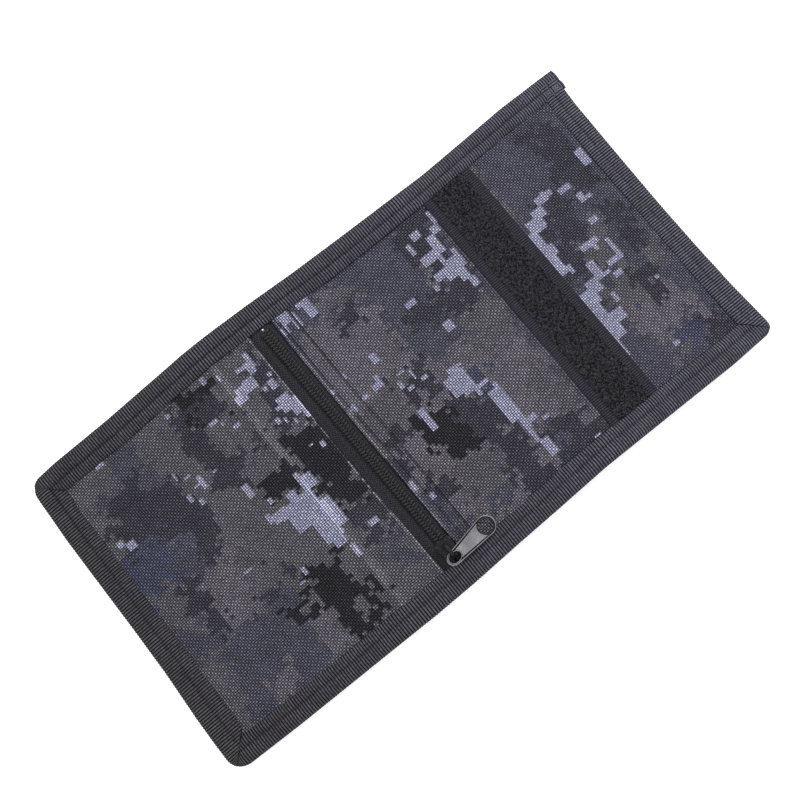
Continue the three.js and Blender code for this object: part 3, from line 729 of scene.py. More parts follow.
def cloth(name, start, end, hem, hem_side):
    """Printed cloth from one X to another. One long edge is a rolled hem beside the zip."""
    columns = np.arange(math.floor(start / THREAD[0]), math.ceil(end / THREAD[0]) + 1) * THREAD[0]
    rows = np.arange(-77, 78) * THREAD[1]
    roll = np.array([0.0, 0.06, 0.22, 0.5, 0.9])
    nominal = hem(0)
    kept = columns[columns < nominal - 1.4] if hem_side > 0 else columns[columns > nominal + 1.4]
    edge = nominal - hem_side * roll
    columns = np.concatenate([kept, edge[::-1]]) if hem_side > 0 else np.concatenate([edge, kept])
    x, y = np.meshgrid(columns, rows, indexing="ij")
    pull = smooth(1 - np.abs(x - nominal) / 10)
    x = x + (hem(y) - nominal) * pull
    beside = np.abs(x - hem(y))
    top = cloth_height(x, y) + 0.35 * bell(beside, 0, 1.3)
    drop = 1 - np.sqrt(np.clip(1 - (1 - np.clip(beside / 0.9, 0, 1)) ** 2, 0, 1))
    middle = top - CLOTH_THICKNESS
    top = top - 0.55 * drop
    bottom = np.minimum(middle, top - 0.02)
    face_x = (x[:-1, :-1] + x[1:, 1:]) / 2
    face_y = (y[:-1, :-1] + y[1:, 1:]) / 2
    shades = printed_color(face_x, face_y)
    # Painted highlight: light streaks along the crease of the left fold.
    wear_and_highlight = bell(face_x, LEFT_FOLD, 0.7) * (noise(face_x, face_y, 3, 71) > 0.35)
    # Painted highlight along the rolled hem's edge beside the zip.
    hem_highlight = bell(face_x, hem(face_y) - hem_side * 0.5, 0.5)
    # Painted highlight: a light band just beside the left fold's crease.
    painted_light = np.exp(-((face_x - LEFT_FOLD - 0.9) / 1.3) ** 4)
    sewn = sum(bell(face_x, row(face_y), 0.5) for row in (first_row, second_row))
    shades *= (1 + 0.3 * wear_and_highlight + 0.35 * painted_light + 0.8 * hem_highlight)[..., None]
    shades *= (1 - 0.55 * sewn)[..., None]
    slab(name, x, y, top, bottom, CAMOUFLAGE, shades)


cloth("printed_cloth_front", -119.5, -26.6, front_hem, 1)
cloth("printed_cloth_back", -17.0, 119.5, back_hem, -1)

# ---------------------------------------------------------------- bound edges

SIDE_HEIGHT = 2.75          # of the middle of the tape's outer side, between its two flanges


def tape_section():
    """Section of the folded tape: (distance from the edge, height, share of the ribs) of each point."""
    skin = []
    for distance in FLANGE * (1 - np.linspace(0, 1, 25)):
        crown = 0.28 * bell(distance, 7.0, 1.8) + 0.22 * bell(distance, 2.4, 1.5)
        sunken = 0.5 * bell(distance, SEAM_DISTANCE, 0.6) + 0.5 * bell(distance, FLANGE, 1.0)
        skin.append((distance, TAPE_TOP + crown - sunken - 0.5 * math.exp(-distance / 0.7), 1.0))
    round_end = [(-0.28, 4.4), (-0.38, 3.6), (-0.4, SIDE_HEIGHT), (-0.36, 1.9), (-0.25, 1.0), (0.0, 0.45)]
    skin += [(distance, height, 1.0) for distance, height in round_end]
    for distance in (0.7, 2.2, 4.2, 5.2, 6.2, 7.6, 9.2, FLANGE):
        skin.append((distance, 0.12 + 0.3 * bell(distance, SEAM_DISTANCE, 0.6), 1.0))
    back = [(9.5, 0.5), (6, 0.55), (2.5, 0.55), (0.9, 0.9), (0.45, SIDE_HEIGHT), (0.9, 4.6), (2.5, 4.85),
            (5.2, 4.5), (6.6, 4.9), (9.5, 4.9)]
    skin += [(distance, height, 0.0) for distance, height in back]
    return np.array(skin)


SECTION = tape_section()
SAMPLES_PER_RIB = 5


def sway(s):
    """How the inner lip and the seam of a bound edge wander, in step."""
    return 0.3 * (noise(s, np.zeros_like(s), 13, 83) - 0.5)


def tape(length_range, mitres, widths, crease, inner_lift):
    """One length of folded tape. mitres gives, for the two ends, how fast the tape's end slants inwards, and
    None leaves it square."""
    start, end = length_range
    step = RIB_PITCH / SAMPLES_PER_RIB
    along = np.arange(math.ceil(start / step), math.floor(end / step) + 1) * step
    along = np.concatenate([[start], along[(along > start + 0.05) & (along < end - 0.05)], [end]])
    s = np.repeat(along[:, None], len(SECTION), 1)
    distance, height, ribbed = (np.repeat(column[None], len(along), 0) for column in SECTION.T)
    distance = np.where(distance > 0, distance * (widths(s) / FLANGE), distance)
    rib = 0.24 * (np.sqrt(np.abs(np.sin(math.pi * np.mod(s / RIB_PITCH, 1)))) - 0.6)
    bumps = 0.12 * (noise(s, distance, 5, 81) - 0.5) + 0.25 * (noise(s, np.full_like(s, 3), 16, 82) - 0.5)
    outer = height > SIDE_HEIGHT
    height = height + ribbed * np.where(outer, rib + bumps, -rib * 0.6 + inner_lift)
    height = height + (1 - ribbed) * np.where(outer, 0.0, inner_lift)
    side = (SECTION[:, 0] < 0.3)[None] & (ribbed > 0)
    distance = distance - np.where(side, rib * 0.8, 0)
    distance = np.where(distance > 4, distance + sway(s), distance)
    cut = s.copy()
    for slant, corner, inwards, clip in zip(mitres, length_range, (1, -1), (np.maximum, np.minimum)):
        if slant is None:
            continue
        limit = corner + inwards * slant * distance
        cut = clip(cut, limit)
        fold = np.where(outer, crease, -0.1) * np.exp(-np.abs(cut - limit) / 0.45)
        height = height - fold * (distance > 0.2)
    return cut, distance, height, along


EDGES = {"top": (top_edge, -1), "bottom": (bottom_edge, 1), "left": (left_edge, 1), "right": (right_edge, -1)}


def edge_place(kind, s, distance):
    """Plan X and y at a place along an edge and a distance in from it."""
    edge, inwards = EDGES[kind]
    across = edge(s) + inwards * distance
    return (s, across) if kind in ("top", "bottom") else (across, s)


def bound_edge(name, kind, length_range, mitres, widths, crease=0.1, inner_lift=0.0):
    """Builds a tape length along the top, bottom, left or right edge."""
    s, distance, height, along = tape(length_range, mitres, widths, crease, inner_lift)
    x, y = rounded_corners(*edge_place(kind, s, distance))
    plan = np.column_stack([x.ravel(), y.ravel(), height.ravel()])
    rows, columns = x.shape
    steps = np.hypot(*np.diff(SECTION[:, :2], axis=0, prepend=SECTION[:1, :2]).T)
    uv = np.column_stack([np.repeat(along, columns), np.tile(np.cumsum(steps), rows)])
    index = np.arange(rows * columns).reshape(rows, columns)
    after = np.roll(index, -1, 1)
    a, b, c, d = index[:-1].ravel(), index[1:].ravel(), after[1:].ravel(), after[:-1].ravel()
    first, last = tuple(index[0]), tuple(index[-1])
    if kind in ("top", "left"):
        faces = [tuple(quad) for quad in np.column_stack([a, b, c, d])] + [first, last[::-1]]
    else:
        faces = [tuple(quad) for quad in np.column_stack([a, d, c, b])] + [first[::-1], last]
    piece_from(name, settle(plan), faces, TAPE, uv)
    clean(pieces[name])


# Rounded corners of the outline: (corner X, corner y, inward X side, inward y side, radius).
CORNERS = [(-122.8, 64.35, 1, -1, 5.0), (-127.75, -63.6, 1, 1, 6.0), (125.0, -62.2, -1, 1, 3.0)]


def rounded_corners(x, y):
    for corner_x, corner_y, side_x, side_y, radius in CORNERS:
        out_x = (corner_x + side_x * radius - x) * side_x
        out_y = (corner_y + side_y * radius - y) * side_y
        inside = (out_x > 0) & (out_y > 0)
        reach = np.maximum(out_x, out_y)
        length = np.hypot(out_x, out_y) + 1e-9
        factor = np.where(inside, reach / length, 1.0)
        x = np.where(inside, corner_x + side_x * (radius - out_x * factor), x)
        y = np.where(inside, corner_y + side_y * (radius - out_y * factor), y)
    return x, y


# How wide the flange lies along each edge.
top_widths = curve([(-120, 10.0), (-85, 10.6), (-50, 9.7), (-10, 9.5), (10, 10.0), (40, 9.2), (60, 8.4),
                    (110, 8.6)])
bottom_widths = curve([(-120, 9.3), (0, 9.4), (60, 9.6), (120, 9.5)])
left_widths = curve([(-60, 11.6), (-40, 11.3), (0, 10.1), (60, 10.3)])
right_widths = curve([(-60, 9.2), (0, 8.4), (60, 8.6)])

cut_x = round(MID_X / RIB_PITCH) * RIB_PITCH
TOP_INNER_LIFT = 1.9
# Which end of a tape length is mitred: its first or its last.
FIRST_MITRED, LAST_MITRED = (1.0, None), (None, 1.0)
bound_edge("binding_top_left", "top", (-122.8, cut_x), FIRST_MITRED, top_widths, inner_lift=TOP_INNER_LIFT)
bound_edge("binding_top_right", "top", (cut_x, 125.6), (None, None), top_widths, inner_lift=TOP_INNER_LIFT)
bound_edge("binding_bottom_left", "bottom", (-127.75, cut_x), FIRST_MITRED, bottom_widths, crease=0.3)
bound_edge("binding_bottom_right", "bottom", (cut_x, 125.0), LAST_MITRED, bottom_widths)
bound_edge("binding_left_end", "left", (-63.6, 64.35), (1.0, 1.0), left_widths)
bound_edge("binding_right_end", "right", (-62.2, 62.0), FIRST_MITRED, right_widths)

# ---------------------------------------------------------------- zip

SLIDER_Y = joints["puller_swing"]["pos_m"][1] / MM / math.cos(ZIP_TURN) + 4.2
TEETH_SPAN = [corner.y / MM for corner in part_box("zip_coil_left")]


def zip_place(points):
    """From the zip's own frame, with y along the teeth, to the plan."""
    points = np.asarray(points, float)
    x = ZIP_X + points[:, 0] * math.cos(ZIP_TURN) - points[:, 1] * math.sin(ZIP_TURN)
    y = points[:, 0] * math.sin(ZIP_TURN) + points[:, 1] * math.cos(ZIP_TURN)
    return np.column_stack([x, y, points[:, 2]])


def zip_tape_piece(name, side, reveal):
    """Woven tape beside one row of teeth. It dips to run under the cloth's hem."""
    across = np.concatenate([np.linspace(0.3, reveal + 1.5, 34), np.linspace(reveal + 2.2, 12, 8)])
    along = np.arange(-63.0, 62.7, 0.55)
    x, y = np.meshgrid(side * across, along, indexing="ij")
    away = np.abs(x)
    top = 4.42 - 0.62 * smooth((away - reveal + 2.0) / 1.8)
    top = top + 0.16 * bell(away, 2.5, 0.3) + 0.14 * (noise(x, y, 6, 101) - 0.5)
    if side < 0:
        x, y, top = x[::-1], y[::-1], top[::-1]
    flat = zip_place(np.column_stack([x.ravel(), y.ravel(), top.ravel()]))
    px, py = flat[:, 0].reshape(x.shape), flat[:, 1].reshape(x.shape)
    slab(name, px, py, top, top - 0.4, ZIP_TAPE)


def coil_piece(name, side):
    """One row of teeth: a flattened spiral of nylon, with the thread that sews it to the tape."""
    turns = (TEETH_SPAN[1] - TEETH_SPAN[0] - 1.0) / TEETH_PITCH
    angle = np.arange(0, 2 * math.pi * turns, 2 * math.pi / 16)
    shift = 0.25 if side > 0 else -0.25
    y = TEETH_SPAN[0] + 0.5 + TEETH_PITCH * (angle / (2 * math.pi) + shift)
    bulge = np.cos(angle)
    x = side * (0.82 - 1.02 * bulge)
    z = 5.45 + 0.52 * np.sin(angle) + 0.1 * np.maximum(bulge, 0)
    parts = [tube(np.column_stack([x, y, z]), 0.3, 7)]
    for offset in (0.75, 1.25):
        s = np.arange(TEETH_SPAN[0] + 0.4, TEETH_SPAN[1] - 0.4, TEETH_PITCH / 6)
        lift = 0.1 * np.cos(2 * math.pi * (s - y[0]) / TEETH_PITCH)
        path = np.column_stack([np.full(len(s), side * offset), s, 6.1 + lift])
        parts.append(tube(path, 0.13, 5))
    points, faces = gather(parts)
    plan = zip_place(points)
    piece_from(name, settle(plan), faces, ZIP_NYLON, plan)


def plate(outlines, low, high, bevel):
    """Flat part with rounded edges from closed outlines, the first one outside and the others holes."""
    data = bpy.data.curves.new("plate", "CURVE")
    data.dimensions = "2D"
    data.fill_mode = "BOTH"
    data.extrude = (high - low) / 2 - bevel
    data.bevel_depth = bevel
    data.offset = -bevel
    data.bevel_resolution = 3
    for outline in outlines:
        spline = data.splines.new("POLY")
        spline.points.add(len(outline) - 1)
        for point, (x, y) in zip(spline.points, outline):
            point.co = (x, y, 0, 1)
        spline.use_cyclic_u = True
    holder = bpy.data.objects.new("plate", data)
    bpy.context.scene.collection.objects.link(holder)
    bpy.context.view_layer.update()
    graph = bpy.context.evaluated_depsgraph_get()
    mesh = bpy.data.meshes.new_from_object(holder.evaluated_get(graph))
    bpy.data.objects.remove(holder)
    points = np.array([vertex.co for vertex in mesh.vertices], float) + (0, 0, (low + high) / 2)
    faces = [tuple(polygon.vertices) for polygon in mesh.polygons]
    bpy.data.meshes.remove(mesh)
    return points, faces


def arc(center, radii, start, end, count=20):
    angle = np.radians(np.linspace(start, end, count))
    return list(zip(center[0] + radii[0] * np.cos(angle), center[1] + radii[1] * np.sin(angle)))


def strap(path, half_width, half_thickness):
    """A bent flat bar along a path in the Y and Z plane."""
    sides = 16
    points, faces = tube(path, 1.0, sides, up=(1, 0, 0))
    path = np.repeat(np.asarray(path, float), sides, 0)
    local = points - path
    flatness = np.hypot(local[:, 1], local[:, 2])
    round_x = np.sign(local[:, 0]) * np.abs(local[:, 0]) ** 0.5
    squarer = np.where(flatness > 1e-6, flatness ** 0.5 / np.maximum(flatness, 1e-6), 1.0)
    shaped = np.column_stack([round_x * half_width, local[:, 1] * squarer * half_thickness,
                              local[:, 2] * squarer * half_thickness])
    return path + shaped, faces


def slider_piece():
    """Slider body: a domed top plate with turned-down cheeks, a base plate, and the bridge."""
    half = 3.9
    outline = arc((1.9, half - 1.1), (1.5, 1.1), 0, 90, 8) + [(0.35, half - 0.15), (-0.35, half - 0.15)]
    outline += arc((-1.9, half - 1.1), (1.5, 1.1), 90, 180, 8) + [(-3.3, 0.2), (-2.9, -1.6)]
    outline += arc((-1.3, -half + 1.3), (1.4, 1.3), 180, 270, 8)
    outline += arc((1.3, -half + 1.3), (1.4, 1.3), 270, 360, 8)
    outline += [(2.9, -1.6), (3.3, 0.2)]
    top = plate([outline], 6.65, 7.5, 0.22)
    base = plate([outline], 3.3, 3.9, 0.2)
    neck = plate([arc((0, 2.3), (0.5, 1.3), 0, 360, 24)[:-1]], 3.6, 7.1, 0.1)
    parts = [top, base, neck]
    for side in (-1, 1):
        cheek = [(3.3, 2.4), (3.35, 0.2), (2.95, -1.7), (2.45, -2.6),
                 (2.1, -2.4), (2.5, -1.4), (2.8, 0.2), (2.85, 2.4)]
        parts.append(plate([[(side * x, y) for x, y in cheek[::side]]], 4.95, 7.0, 0.14))
    bend = [(-3.2, 7.2), (-3.25, 8.2), (-3.15, 9.0), (-2.75, 9.55), (-2.0, 9.75), (-0.8, 9.8), (0.5, 9.7),
            (1.3, 9.35), (1.75, 8.7), (1.85, 7.9), (1.85, 7.2)]
    parts.append(strap([(0, y, z) for y, z in bend], 0.65, 0.42))
    points, faces = gather(parts)
    plan = zip_place(points + (0, SLIDER_Y, 0))
    piece_from("zip_slider_body", settle(plan), faces, ENAMEL, plan)


# Metal tones of the puller: a painted highlight on the raised rims, painted shade in the sunken groove inside
# them, and a painted dark reflection on the eye's ring.
RIM_HIGHLIGHT_METAL = (150, 149, 155)
FLAT_METAL = (142, 141, 146)
EYE_REFLECTION_METAL = (66, 65, 70)
GROOVE_SHADE_METAL = (30, 30, 33)


def puller_piece():
    """Puller plate: a sunken middle inside a raised rim, a slot at one end and a round eye at the other."""
    length, ring, end = 15.8, (3.3, 2.55), 3.75

    def around(grow):
        small = arc((0, 0), (ring[0] + grow, ring[1] + grow), 98, 262, 26)
        large = arc((length, 0), (end + grow, end + grow), -88, 88, 30)
        return small + large

    slot_hole = arc((0.1, 0), (2.55, 1.85), 0, 360, 37)[:-1]
    eye_hole = arc((length, 0), (2.8, 2.8), 0, 360, 41)[:-1]
    slot_ring = arc((0.1, 0), (2.9, 2.15), 0, 360, 37)[:-1]
    eye_ring = arc((length, 0), (3.15, 3.15), 0, 360, 41)[:-1]
    pad = arc((0.1, 0), (3.0, 2.2), -56, 56, 16) + arc((length, 0), (3.3, 3.3), 116, 244, 22)
    toned = [
        # Painted tones: the groove is darkened as shade, the rims are lightened as a highlight, and the eye's
        # ring is darkened as a reflection.
        (GROOVE_SHADE_METAL, plate([around(-0.2), slot_hole, eye_hole], -0.3, 0.06, 0.06)),
        (FLAT_METAL, plate([pad[::-1]], -0.1, 0.36, 0.07)),
        (RIM_HIGHLIGHT_METAL, plate([around(0.05), around(-0.34)[::-1]], -0.48, 0.5, 0.15)),
        (RIM_HIGHLIGHT_METAL, plate([slot_ring, slot_hole[::-1]], -0.36, 0.3, 0.12)),
        (EYE_REFLECTION_METAL, plate([eye_ring, eye_hole[::-1]], -0.36, 0.34, 0.12)),
    ]
    points, faces = gather([part for tone, part in toned])
    shades = np.vstack([np.tile(linear(tone), (len(part[1]), 1)) for tone, part in toned])
    droop, turn = math.radians(5), math.radians(7)
    x = points[:, 0] * math.cos(droop) + points[:, 2] * math.sin(droop)
    z = -points[:, 0] * math.sin(droop) + points[:, 2] * math.cos(droop)
    hinge = axis_place("puller_swing")
    world = np.column_stack([
        hinge[0] + x * math.cos(turn) - points[:, 1] * math.sin(turn),
        hinge[1] + x * math.sin(turn) + points[:, 1] * math.cos(turn),
        hinge[2] + z,
    ])
    piece_from("zip_puller_plate", world, faces, NICKEL, shades=shades)


zip_tape_piece("woven_zip_tape_left", -1, 5.6)
zip_tape_piece("woven_zip_tape_right", 1, 3.95)
coil_piece("spiral_teeth_left", -1)
coil_piece("spiral_teeth_right", 1)
slider_piece()
puller_piece()
for name in ("zip_slider_body", "zip_puller_plate"):
    sharp = pieces[name].modifiers.new("sharp_edges", "EDGE_SPLIT")
    sharp.split_angle = math.radians(40)

# ---------------------------------------------------------------- closure strips

STRIP_Y = (-53.6, 54.2)
STRIP_GROUND_TOP = 5.25


def strip_ground_piece():
    x = np.concatenate([np.linspace(STRIP_SPAN[0], STRIP_SPAN[0] + 0.3, 4),
                        np.linspace(STRIP_SPAN[0] + 0.6, STRIP_SPAN[1] - 0.6, 70),
                        np.linspace(STRIP_SPAN[1] - 0.3, STRIP_SPAN[1], 4)])
    y = np.linspace(STRIP_Y[0] - 0.5, STRIP_Y[1] + 0.5, 520)
    x, y = np.meshgrid(x, y, indexing="ij")
    beside = np.minimum(x - STRIP_SPAN[0], STRIP_SPAN[1] - x)
    under_pile = smooth((x - PILE_SPAN[0] + 0.8) / 1.2) * smooth((PILE_SPAN[1] + 0.8 - x) / 1.2)
    ribs = 0.07 * np.sin(2 * math.pi * y / STRIP_RIB_PITCH) * (1 - under_pile)
    top = STRIP_GROUND_TOP + ribs - 0.1 * under_pile - 0.35 * (1 - smooth(beside / 0.5))
    slab("loop_strip_ground", x, y, top, np.full_like(top, 4.8), STRIP_GROUND)


def loops_piece(count, foot):
    """Brushed pile: many small loops that lean over at random, on feet at one height."""
    draw = np.random.default_rng(5)
    x = draw.uniform(PILE_SPAN[0], PILE_SPAN[1], count)
    y = draw.uniform(STRIP_Y[0] + 0.2, STRIP_Y[1] - 0.2, count)
    heading = draw.uniform(0, 2 * math.pi, count)
    span = draw.uniform(0.35, 0.8, count)
    rise = draw.uniform(0.3, 0.75, count)
    lean = draw.normal(0, 0.45, count)
    thick = draw.uniform(0.07, 0.13, count)
    steps, sides = 5, 3
    t = np.linspace(0, math.pi, steps)
    ahead = np.cos(t)[None] * -span[:, None] / 2
    sideways = np.sin(t)[None] * lean[:, None]
    up = foot + np.sin(t)[None] * rise[:, None]
    cos_h, sin_h = np.cos(heading)[:, None], np.sin(heading)[:, None]
    px = x[:, None] + ahead * cos_h - sideways * sin_h
    py = y[:, None] + ahead * sin_h + sideways * cos_h
    tangent_a, tangent_up = np.sin(t)[None] * span[:, None] / 2, np.cos(t)[None] * rise[:, None]
    length = np.hypot(tangent_a, tangent_up) + 1e-9
    normal_a, normal_up = -tangent_up / length, tangent_a / length
    points = []
    for k in range(sides):
        turn = 2 * math.pi * k / sides
        out = math.cos(turn) * normal_a * thick[:, None]
        across = math.sin(turn) * thick[:, None]
        points.append(np.stack([px + out * cos_h - across * sin_h, py + out * sin_h + across * cos_h,
                                up + math.cos(turn) * normal_up * thick[:, None]], -1))
    plan = np.stack(points, 2).reshape(-1, 3)
    one = []
    for i in range(steps - 1):
        for k in range(sides):
            m = (k + 1) % sides
            one.append((i * sides + k, (i + 1) * sides + k, (i + 1) * sides + m, i * sides + m))
    starts = np.arange(count) * steps * sides
    quads = (np.array(one)[None] + starts[:, None, None]).reshape(-1, 4)
    low_cap = np.array([0, 1, 2])[None] + starts[:, None]
    high_cap = np.array([2, 1, 0])[None] + starts[:, None] + (steps - 1) * sides
    faces = [tuple(q) for q in quads] + [tuple(c) for c in np.vstack([low_cap, high_cap])]
    piece_from("loop_pile", settle(plan), faces, PILE, plan)


strip_ground_piece()
loops_piece(7400, 5.12)

# ---------------------------------------------------------------- stitching

def stitches(name, rows, length=2.0, gap=0.7, radius=0.2):
    """Short thread pieces along rows. Each row is a list of plan points with heights."""
    parts = []
    for row in rows:
        row = np.asarray(row, float)
        travelled = np.concatenate([[0], np.cumsum(np.linalg.norm(np.diff(row[:, :2], axis=0), axis=1))])
        starts = np.arange(0.4, travelled[-1] - length, length + gap)
        for start in starts:
            s = start + np.linspace(0, length, 7)
            path = np.column_stack([np.interp(s, travelled, row[:, axis]) for axis in range(3)])
            arch = np.sin(np.linspace(0, math.pi, 7))
            path[:, 2] += 0.14 * arch - 0.1
            parts.append(tube(path, radius * (0.35 + 0.65 * arch ** 0.5), 7))
    points, faces = gather(parts)
    piece_from(name, settle(points), faces, THREAD_MATERIAL, points)


def seam_row(kind, start, end, widths):
    """Places along the stitched groove of a bound edge, on its outer face."""
    s = np.arange(start, end, 0.5)
    x, y = edge_place(kind, s, SEAM_DISTANCE * widths(s) / FLANGE + sway(s))
    return np.column_stack([x, y, np.full(len(s), TAPE_TOP - 0.46)])


def cloth_row(x_at, start, end):
    y = np.arange(start, end, 0.5)
    x = x_at(y)
    return np.column_stack([x, y, cloth_height(x, y) - 0.02])


def strip_row(x):
    y = np.linspace(-53, 53.6, 210)
    return np.column_stack([np.full_like(y, x), y, np.full_like(y, STRIP_GROUND_TOP + 0.1)])


stitches("stitching_left", [
    seam_row("top", -117, cut_x - 0.5, top_widths),
    seam_row("bottom", -121, cut_x - 0.5, bottom_widths),
    seam_row("left", -57, 58, left_widths),
])
stitches("stitching_right", [
    seam_row("top", cut_x + 0.5, 124, top_widths),
    seam_row("bottom", cut_x + 0.5, 119, bottom_widths),
    seam_row("right", -56, 56, right_widths),
])
stitches("stitching_zip", [cloth_row(first_row, -54, 54), cloth_row(second_row, -54, 53.5)], 1.7, 0.6, 0.17)
stitches("stitching_strip", [strip_row(STRIP_SPAN[0] + 1.1), strip_row(STRIP_SPAN[1] - 1.1)], 1.7, 0.6, 0.15)

# ---------------------------------------------------------------- linings, pockets and hook strip


POCKET_HEM = 7.0


def sheet_piece(name, x_range, y_high, low, high, material, hem=0.0, ripple=0.0):
    """Cloth layer from the bottom edge up, with an optional folded hem along its high edge."""
    columns = np.linspace(*x_range, max(int((x_range[1] - x_range[0]) / 1.5), 2) + 1)
    x, v = np.meshgrid(columns, np.linspace(0, 1, 90), indexing="ij")
    y_low = bottom_edge(x) + 2.2
    y = y_low + (y_high(x) - y_low) * v
    drift = ripple * (noise(x, y, 9, 131) - 0.5)
    bottom = low + drift - hem * smooth((y - y_high(x) + POCKET_HEM) / 0.6)
    slab(name, x, y, high + drift, bottom, material)


def steady(value):
    return lambda x: np.full(np.shape(x), float(value))


def below_top(distance):
    return lambda x: top_edge(x) - distance


def node_span(node):
    """Plan X range of a flat CAD layer on the middle panel."""
    return [corner.x / MM - PLAN_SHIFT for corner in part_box(node)]


def node_top(node):
    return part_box(node)[1].y / MM


pocket_x = node_span("card_pocket_middle")
window_x = node_span("id_window")
strip_pocket_x = (RIGHT_FOLD + 9.3, RIGHT_FOLD + 68)
middle_mouth = node_top("card_pocket_middle")
window_mouth = node_top("id_window")
back_mouth = node_top("card_pocket_back")
front_mouth = node_top("card_pocket_front")

sheet_piece("coin_lining_left", (-121, ZIP_X - 1), below_top(2.2), 2.85, 3.15, LINING)
sheet_piece("coin_lining_right", (ZIP_X + 1, 120), below_top(2.2), 2.85, 3.15, LINING)
sheet_piece("bill_wall_left", (-121, MID_X), below_top(10.9), 2.15, 2.45, LINING, 0.3, 0.25)
sheet_piece("bill_wall_right", (MID_X, 120), below_top(10.9), 2.15, 2.45, LINING, 0.3, 0.25)
sheet_piece("card_pocket_lined", pocket_x, steady(middle_mouth), 1.5, 1.8, LINING, 0.35, 0.2)
sheet_piece("id_window_film", window_x, steady(window_mouth), 0.95, 1.15, VINYL, 0.0, 0.3)
sheet_piece("card_pocket_rear", strip_pocket_x, steady(back_mouth), 1.5, 1.8, LINING, 0.35, 0.2)
sheet_piece("card_pocket_near", strip_pocket_x, steady(front_mouth), 0.9, 1.2, LINING, 0.35, 0.2)


HOOK_STRIP_WIDTH = 22.8


def hook_strip_piece():
    """Hook tape on the inner face: a woven ground and rows of small bent hooks that point down."""
    low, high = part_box("hook_strip")
    x_end = LEFT_FOLD + (low.x / MM - PLAN_SHIFT - LEFT_FOLD) / math.cos(LEFT_TILT) + 1.5
    x = np.linspace(x_end, x_end + HOOK_STRIP_WIDTH, 60)
    y = np.linspace(low.y / MM, high.y / MM, 200)
    gx, gy = np.meshgrid(x, y, indexing="ij")
    top = np.full(gx.shape, 1.85)
    ribs = 0.05 * np.sin(2 * math.pi * gy / STRIP_RIB_PITCH)
    slab("hook_strip_ground", gx, gy, top, top - 0.4 + ribs, HOOKS)
    draw = np.random.default_rng(7)
    parts = []
    t = np.linspace(0, 1, 5)
    for hook_x in np.arange(x[0] + 2.5, x[-1] - 2.5, 1.5):
        for hook_y in np.arange(y[0] + 1, y[-1] - 1, 1.6):
            side = 1 if draw.random() > 0.5 else -1
            jitter = draw.normal(0, 0.12, 2)
            path = np.column_stack([
                hook_x + jitter[0] + 0 * t,
                hook_y + jitter[1] + side * 0.5 * t ** 2,
                1.5 - 0.75 * np.sin(t * 2.2),
            ])
            parts.append(tube(path, 0.09, 4, up=(1, 0, 0)))
    points, faces = gather(parts)
    piece_from("hook_strip_hooks", settle(points), faces, HOOKS, points)


hook_strip_piece()

# ---------------------------------------------------------------- camera, floor and light

def camera():
    data = bpy.data.cameras.new("camera")
    data.lens = 90
    data.sensor_width = 36
    seen = bpy.data.objects.new("camera", data)
    bpy.context.scene.collection.objects.link(seen)
    place = Vector((-65.23, -95.32, 728.13)) * MM
    aim = Vector((2.44, 2.29, 17)) * MM
    forward = (aim - place).normalized()
    up = Vector((0.624717, 0.763386, 0.164226))
    right = forward.cross(up).normalized()
    up = right.cross(forward)
    turn = Matrix((right, up, -forward)).transposed()
    seen.matrix_world = Matrix.Translation(place) @ turn.to_4x4()
    data.clip_start = 0.01
    bpy.context.scene.camera = seen


def floor():
    mesh = bpy.data.meshes.new("floor")
    size = 3.0
    corners = [(-size, -size, 0), (size, -size, 0), (size, size, 0), (-size, size, 0)]
    mesh.from_pydata(corners, [], [(0, 1, 2, 3)])
    ground = bpy.data.objects.new("floor", mesh)
    bpy.context.scene.collection.objects.link(ground)
    shader = Shader("floor", 0.9, 0.1, Base_Color=(0.9, 0.9, 0.9, 1), Emission_Color=(1, 1, 1, 1),
                    Emission_Strength=0.45)
    ground.data.materials.append(shader.material)


def lamp(name, place, aim, size, power):
    data = bpy.data.lights.new(name, "AREA")
    data.shape = "DISK"
    data.size = size
    data.energy = power
    light = bpy.data.objects.new(name, data)
    bpy.context.scene.collection.objects.link(light)
    light.location = place
    light.rotation_euler = (Vector(aim) - Vector(place)).to_track_quat("-Z", "Y").to_euler()


def studio():
    scene = bpy.context.scene
    world = bpy.data.worlds.new("studio")
    world.use_nodes = True
    background = world.node_tree.nodes["Background"]
    background.inputs["Color"].default_value = (1, 1, 1, 1)
    background.inputs["Strength"].default_value = 1.1
    scene.world = world
    scene.view_settings.view_transform = "Standard"
    lamp("key", (0.55, 0.35, 0.65), (0.05, 0, 0), 0.7, 6.0)
    lamp("fill", (-0.6, 0.6, 1.2), (0, 0, 0), 1.2, 5.0)


camera()
floor()
studio()

# ---------------------------------------------------------------- what rides on what

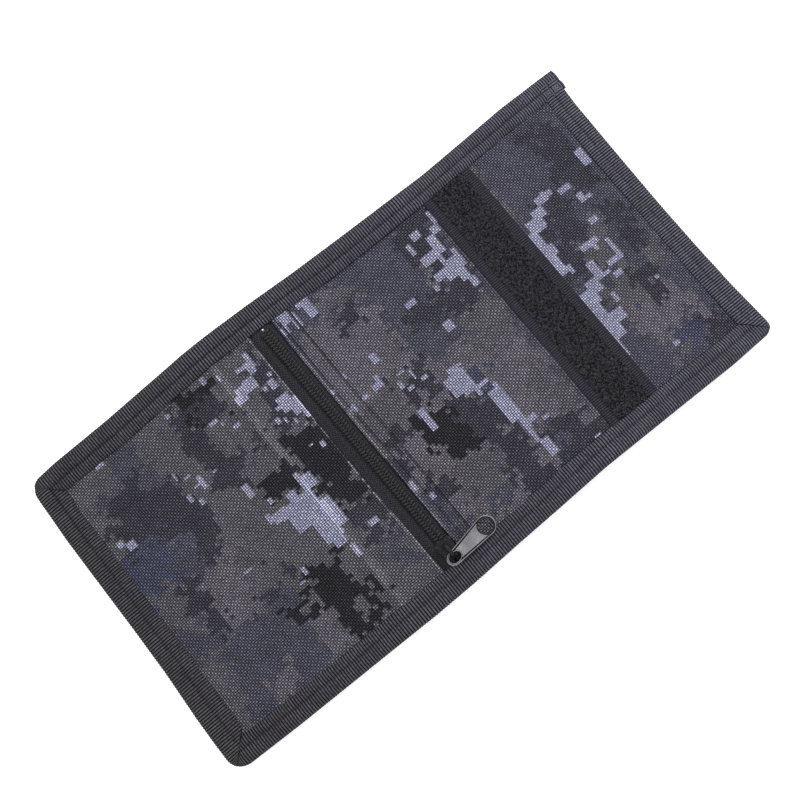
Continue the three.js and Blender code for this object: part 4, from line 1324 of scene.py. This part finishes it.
# For each piece: the body that it is attached to or the fold that it lies over, its material slot, and the
# CAD nodes it stands for.
ROLES = {
    "printed_cloth_front": ("front_fold", "camouflage_cloth", ["shell_front_flap", "shell_front_return"]),
    "printed_cloth_back": ("strip_fold", "camouflage_cloth", ["shell_middle", "shell_strip_panel"]),
    "binding_top_left": ("front_fold", "binding_tape", ["binding_top_flap", "binding_top_middle"]),
    "binding_top_right": ("strip_fold", "binding_tape", ["binding_top_strip_panel"]),
    "binding_bottom_left": ("front_fold", "binding_tape", ["binding_bottom_flap", "binding_bottom_middle"]),
    "binding_bottom_right": ("strip_fold", "binding_tape", ["binding_bottom_strip_panel"]),
    "binding_left_end": ("front_flap", "binding_tape", ["binding_front_end"]),
    "binding_right_end": ("strip_panel", "binding_tape", ["binding_rear_end"]),
    "woven_zip_tape_left": ("middle_panel", "zip_tape", ["zip_tape_left"]),
    "woven_zip_tape_right": ("middle_panel", "zip_tape", ["zip_tape_right"]),
    "spiral_teeth_left": ("middle_panel", "zip_coil", ["zip_coil_left"]),
    "spiral_teeth_right": ("middle_panel", "zip_coil", ["zip_coil_right"]),
    "zip_slider_body": ("slider", "slider_enamel", ["zip_slider"]),
    "zip_puller_plate": ("puller", "puller_nickel", ["zip_puller"]),
    "loop_strip_ground": ("strip_fold", "loop_pile", ["loop_strip"]),
    "loop_pile": ("strip_fold", "loop_pile", ["loop_strip"]),
    "stitching_left": ("front_fold", "binding_tape", []),
    "stitching_right": ("strip_fold", "binding_tape", []),
    "stitching_strip": ("strip_fold", "binding_tape", []),
    "stitching_zip": ("middle_panel", "binding_tape", []),
    "coin_lining_left": ("front_fold", "lining_cloth", ["coin_lining_flap"]),
    "coin_lining_right": ("strip_fold", "lining_cloth", ["coin_lining_middle", "coin_lining_strip_panel"]),
    "bill_wall_left": ("front_fold", "lining_cloth", ["bill_wall_flap"]),
    "bill_wall_right": ("strip_fold", "lining_cloth", ["bill_wall_middle", "bill_wall_strip_panel"]),
    "card_pocket_lined": ("middle_panel", "lining_cloth", ["card_pocket_middle"]),
    "id_window_film": ("middle_panel", "clear_vinyl", ["id_window"]),
    "card_pocket_rear": ("strip_panel", "lining_cloth", ["card_pocket_back"]),
    "card_pocket_near": ("strip_panel", "lining_cloth", ["card_pocket_front"]),
    "hook_strip_ground": ("front_flap", "hook_nylon", ["hook_strip"]),
    "hook_strip_hooks": ("front_flap", "hook_nylon", ["hook_strip"]),
}
for name, (holder, slot, nodes) in ROLES.items():
    if holder in joints:
        over_fold(pieces[name], holder)
    else:
        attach(pieces[name], holder)
    if nodes:
        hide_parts(*nodes)
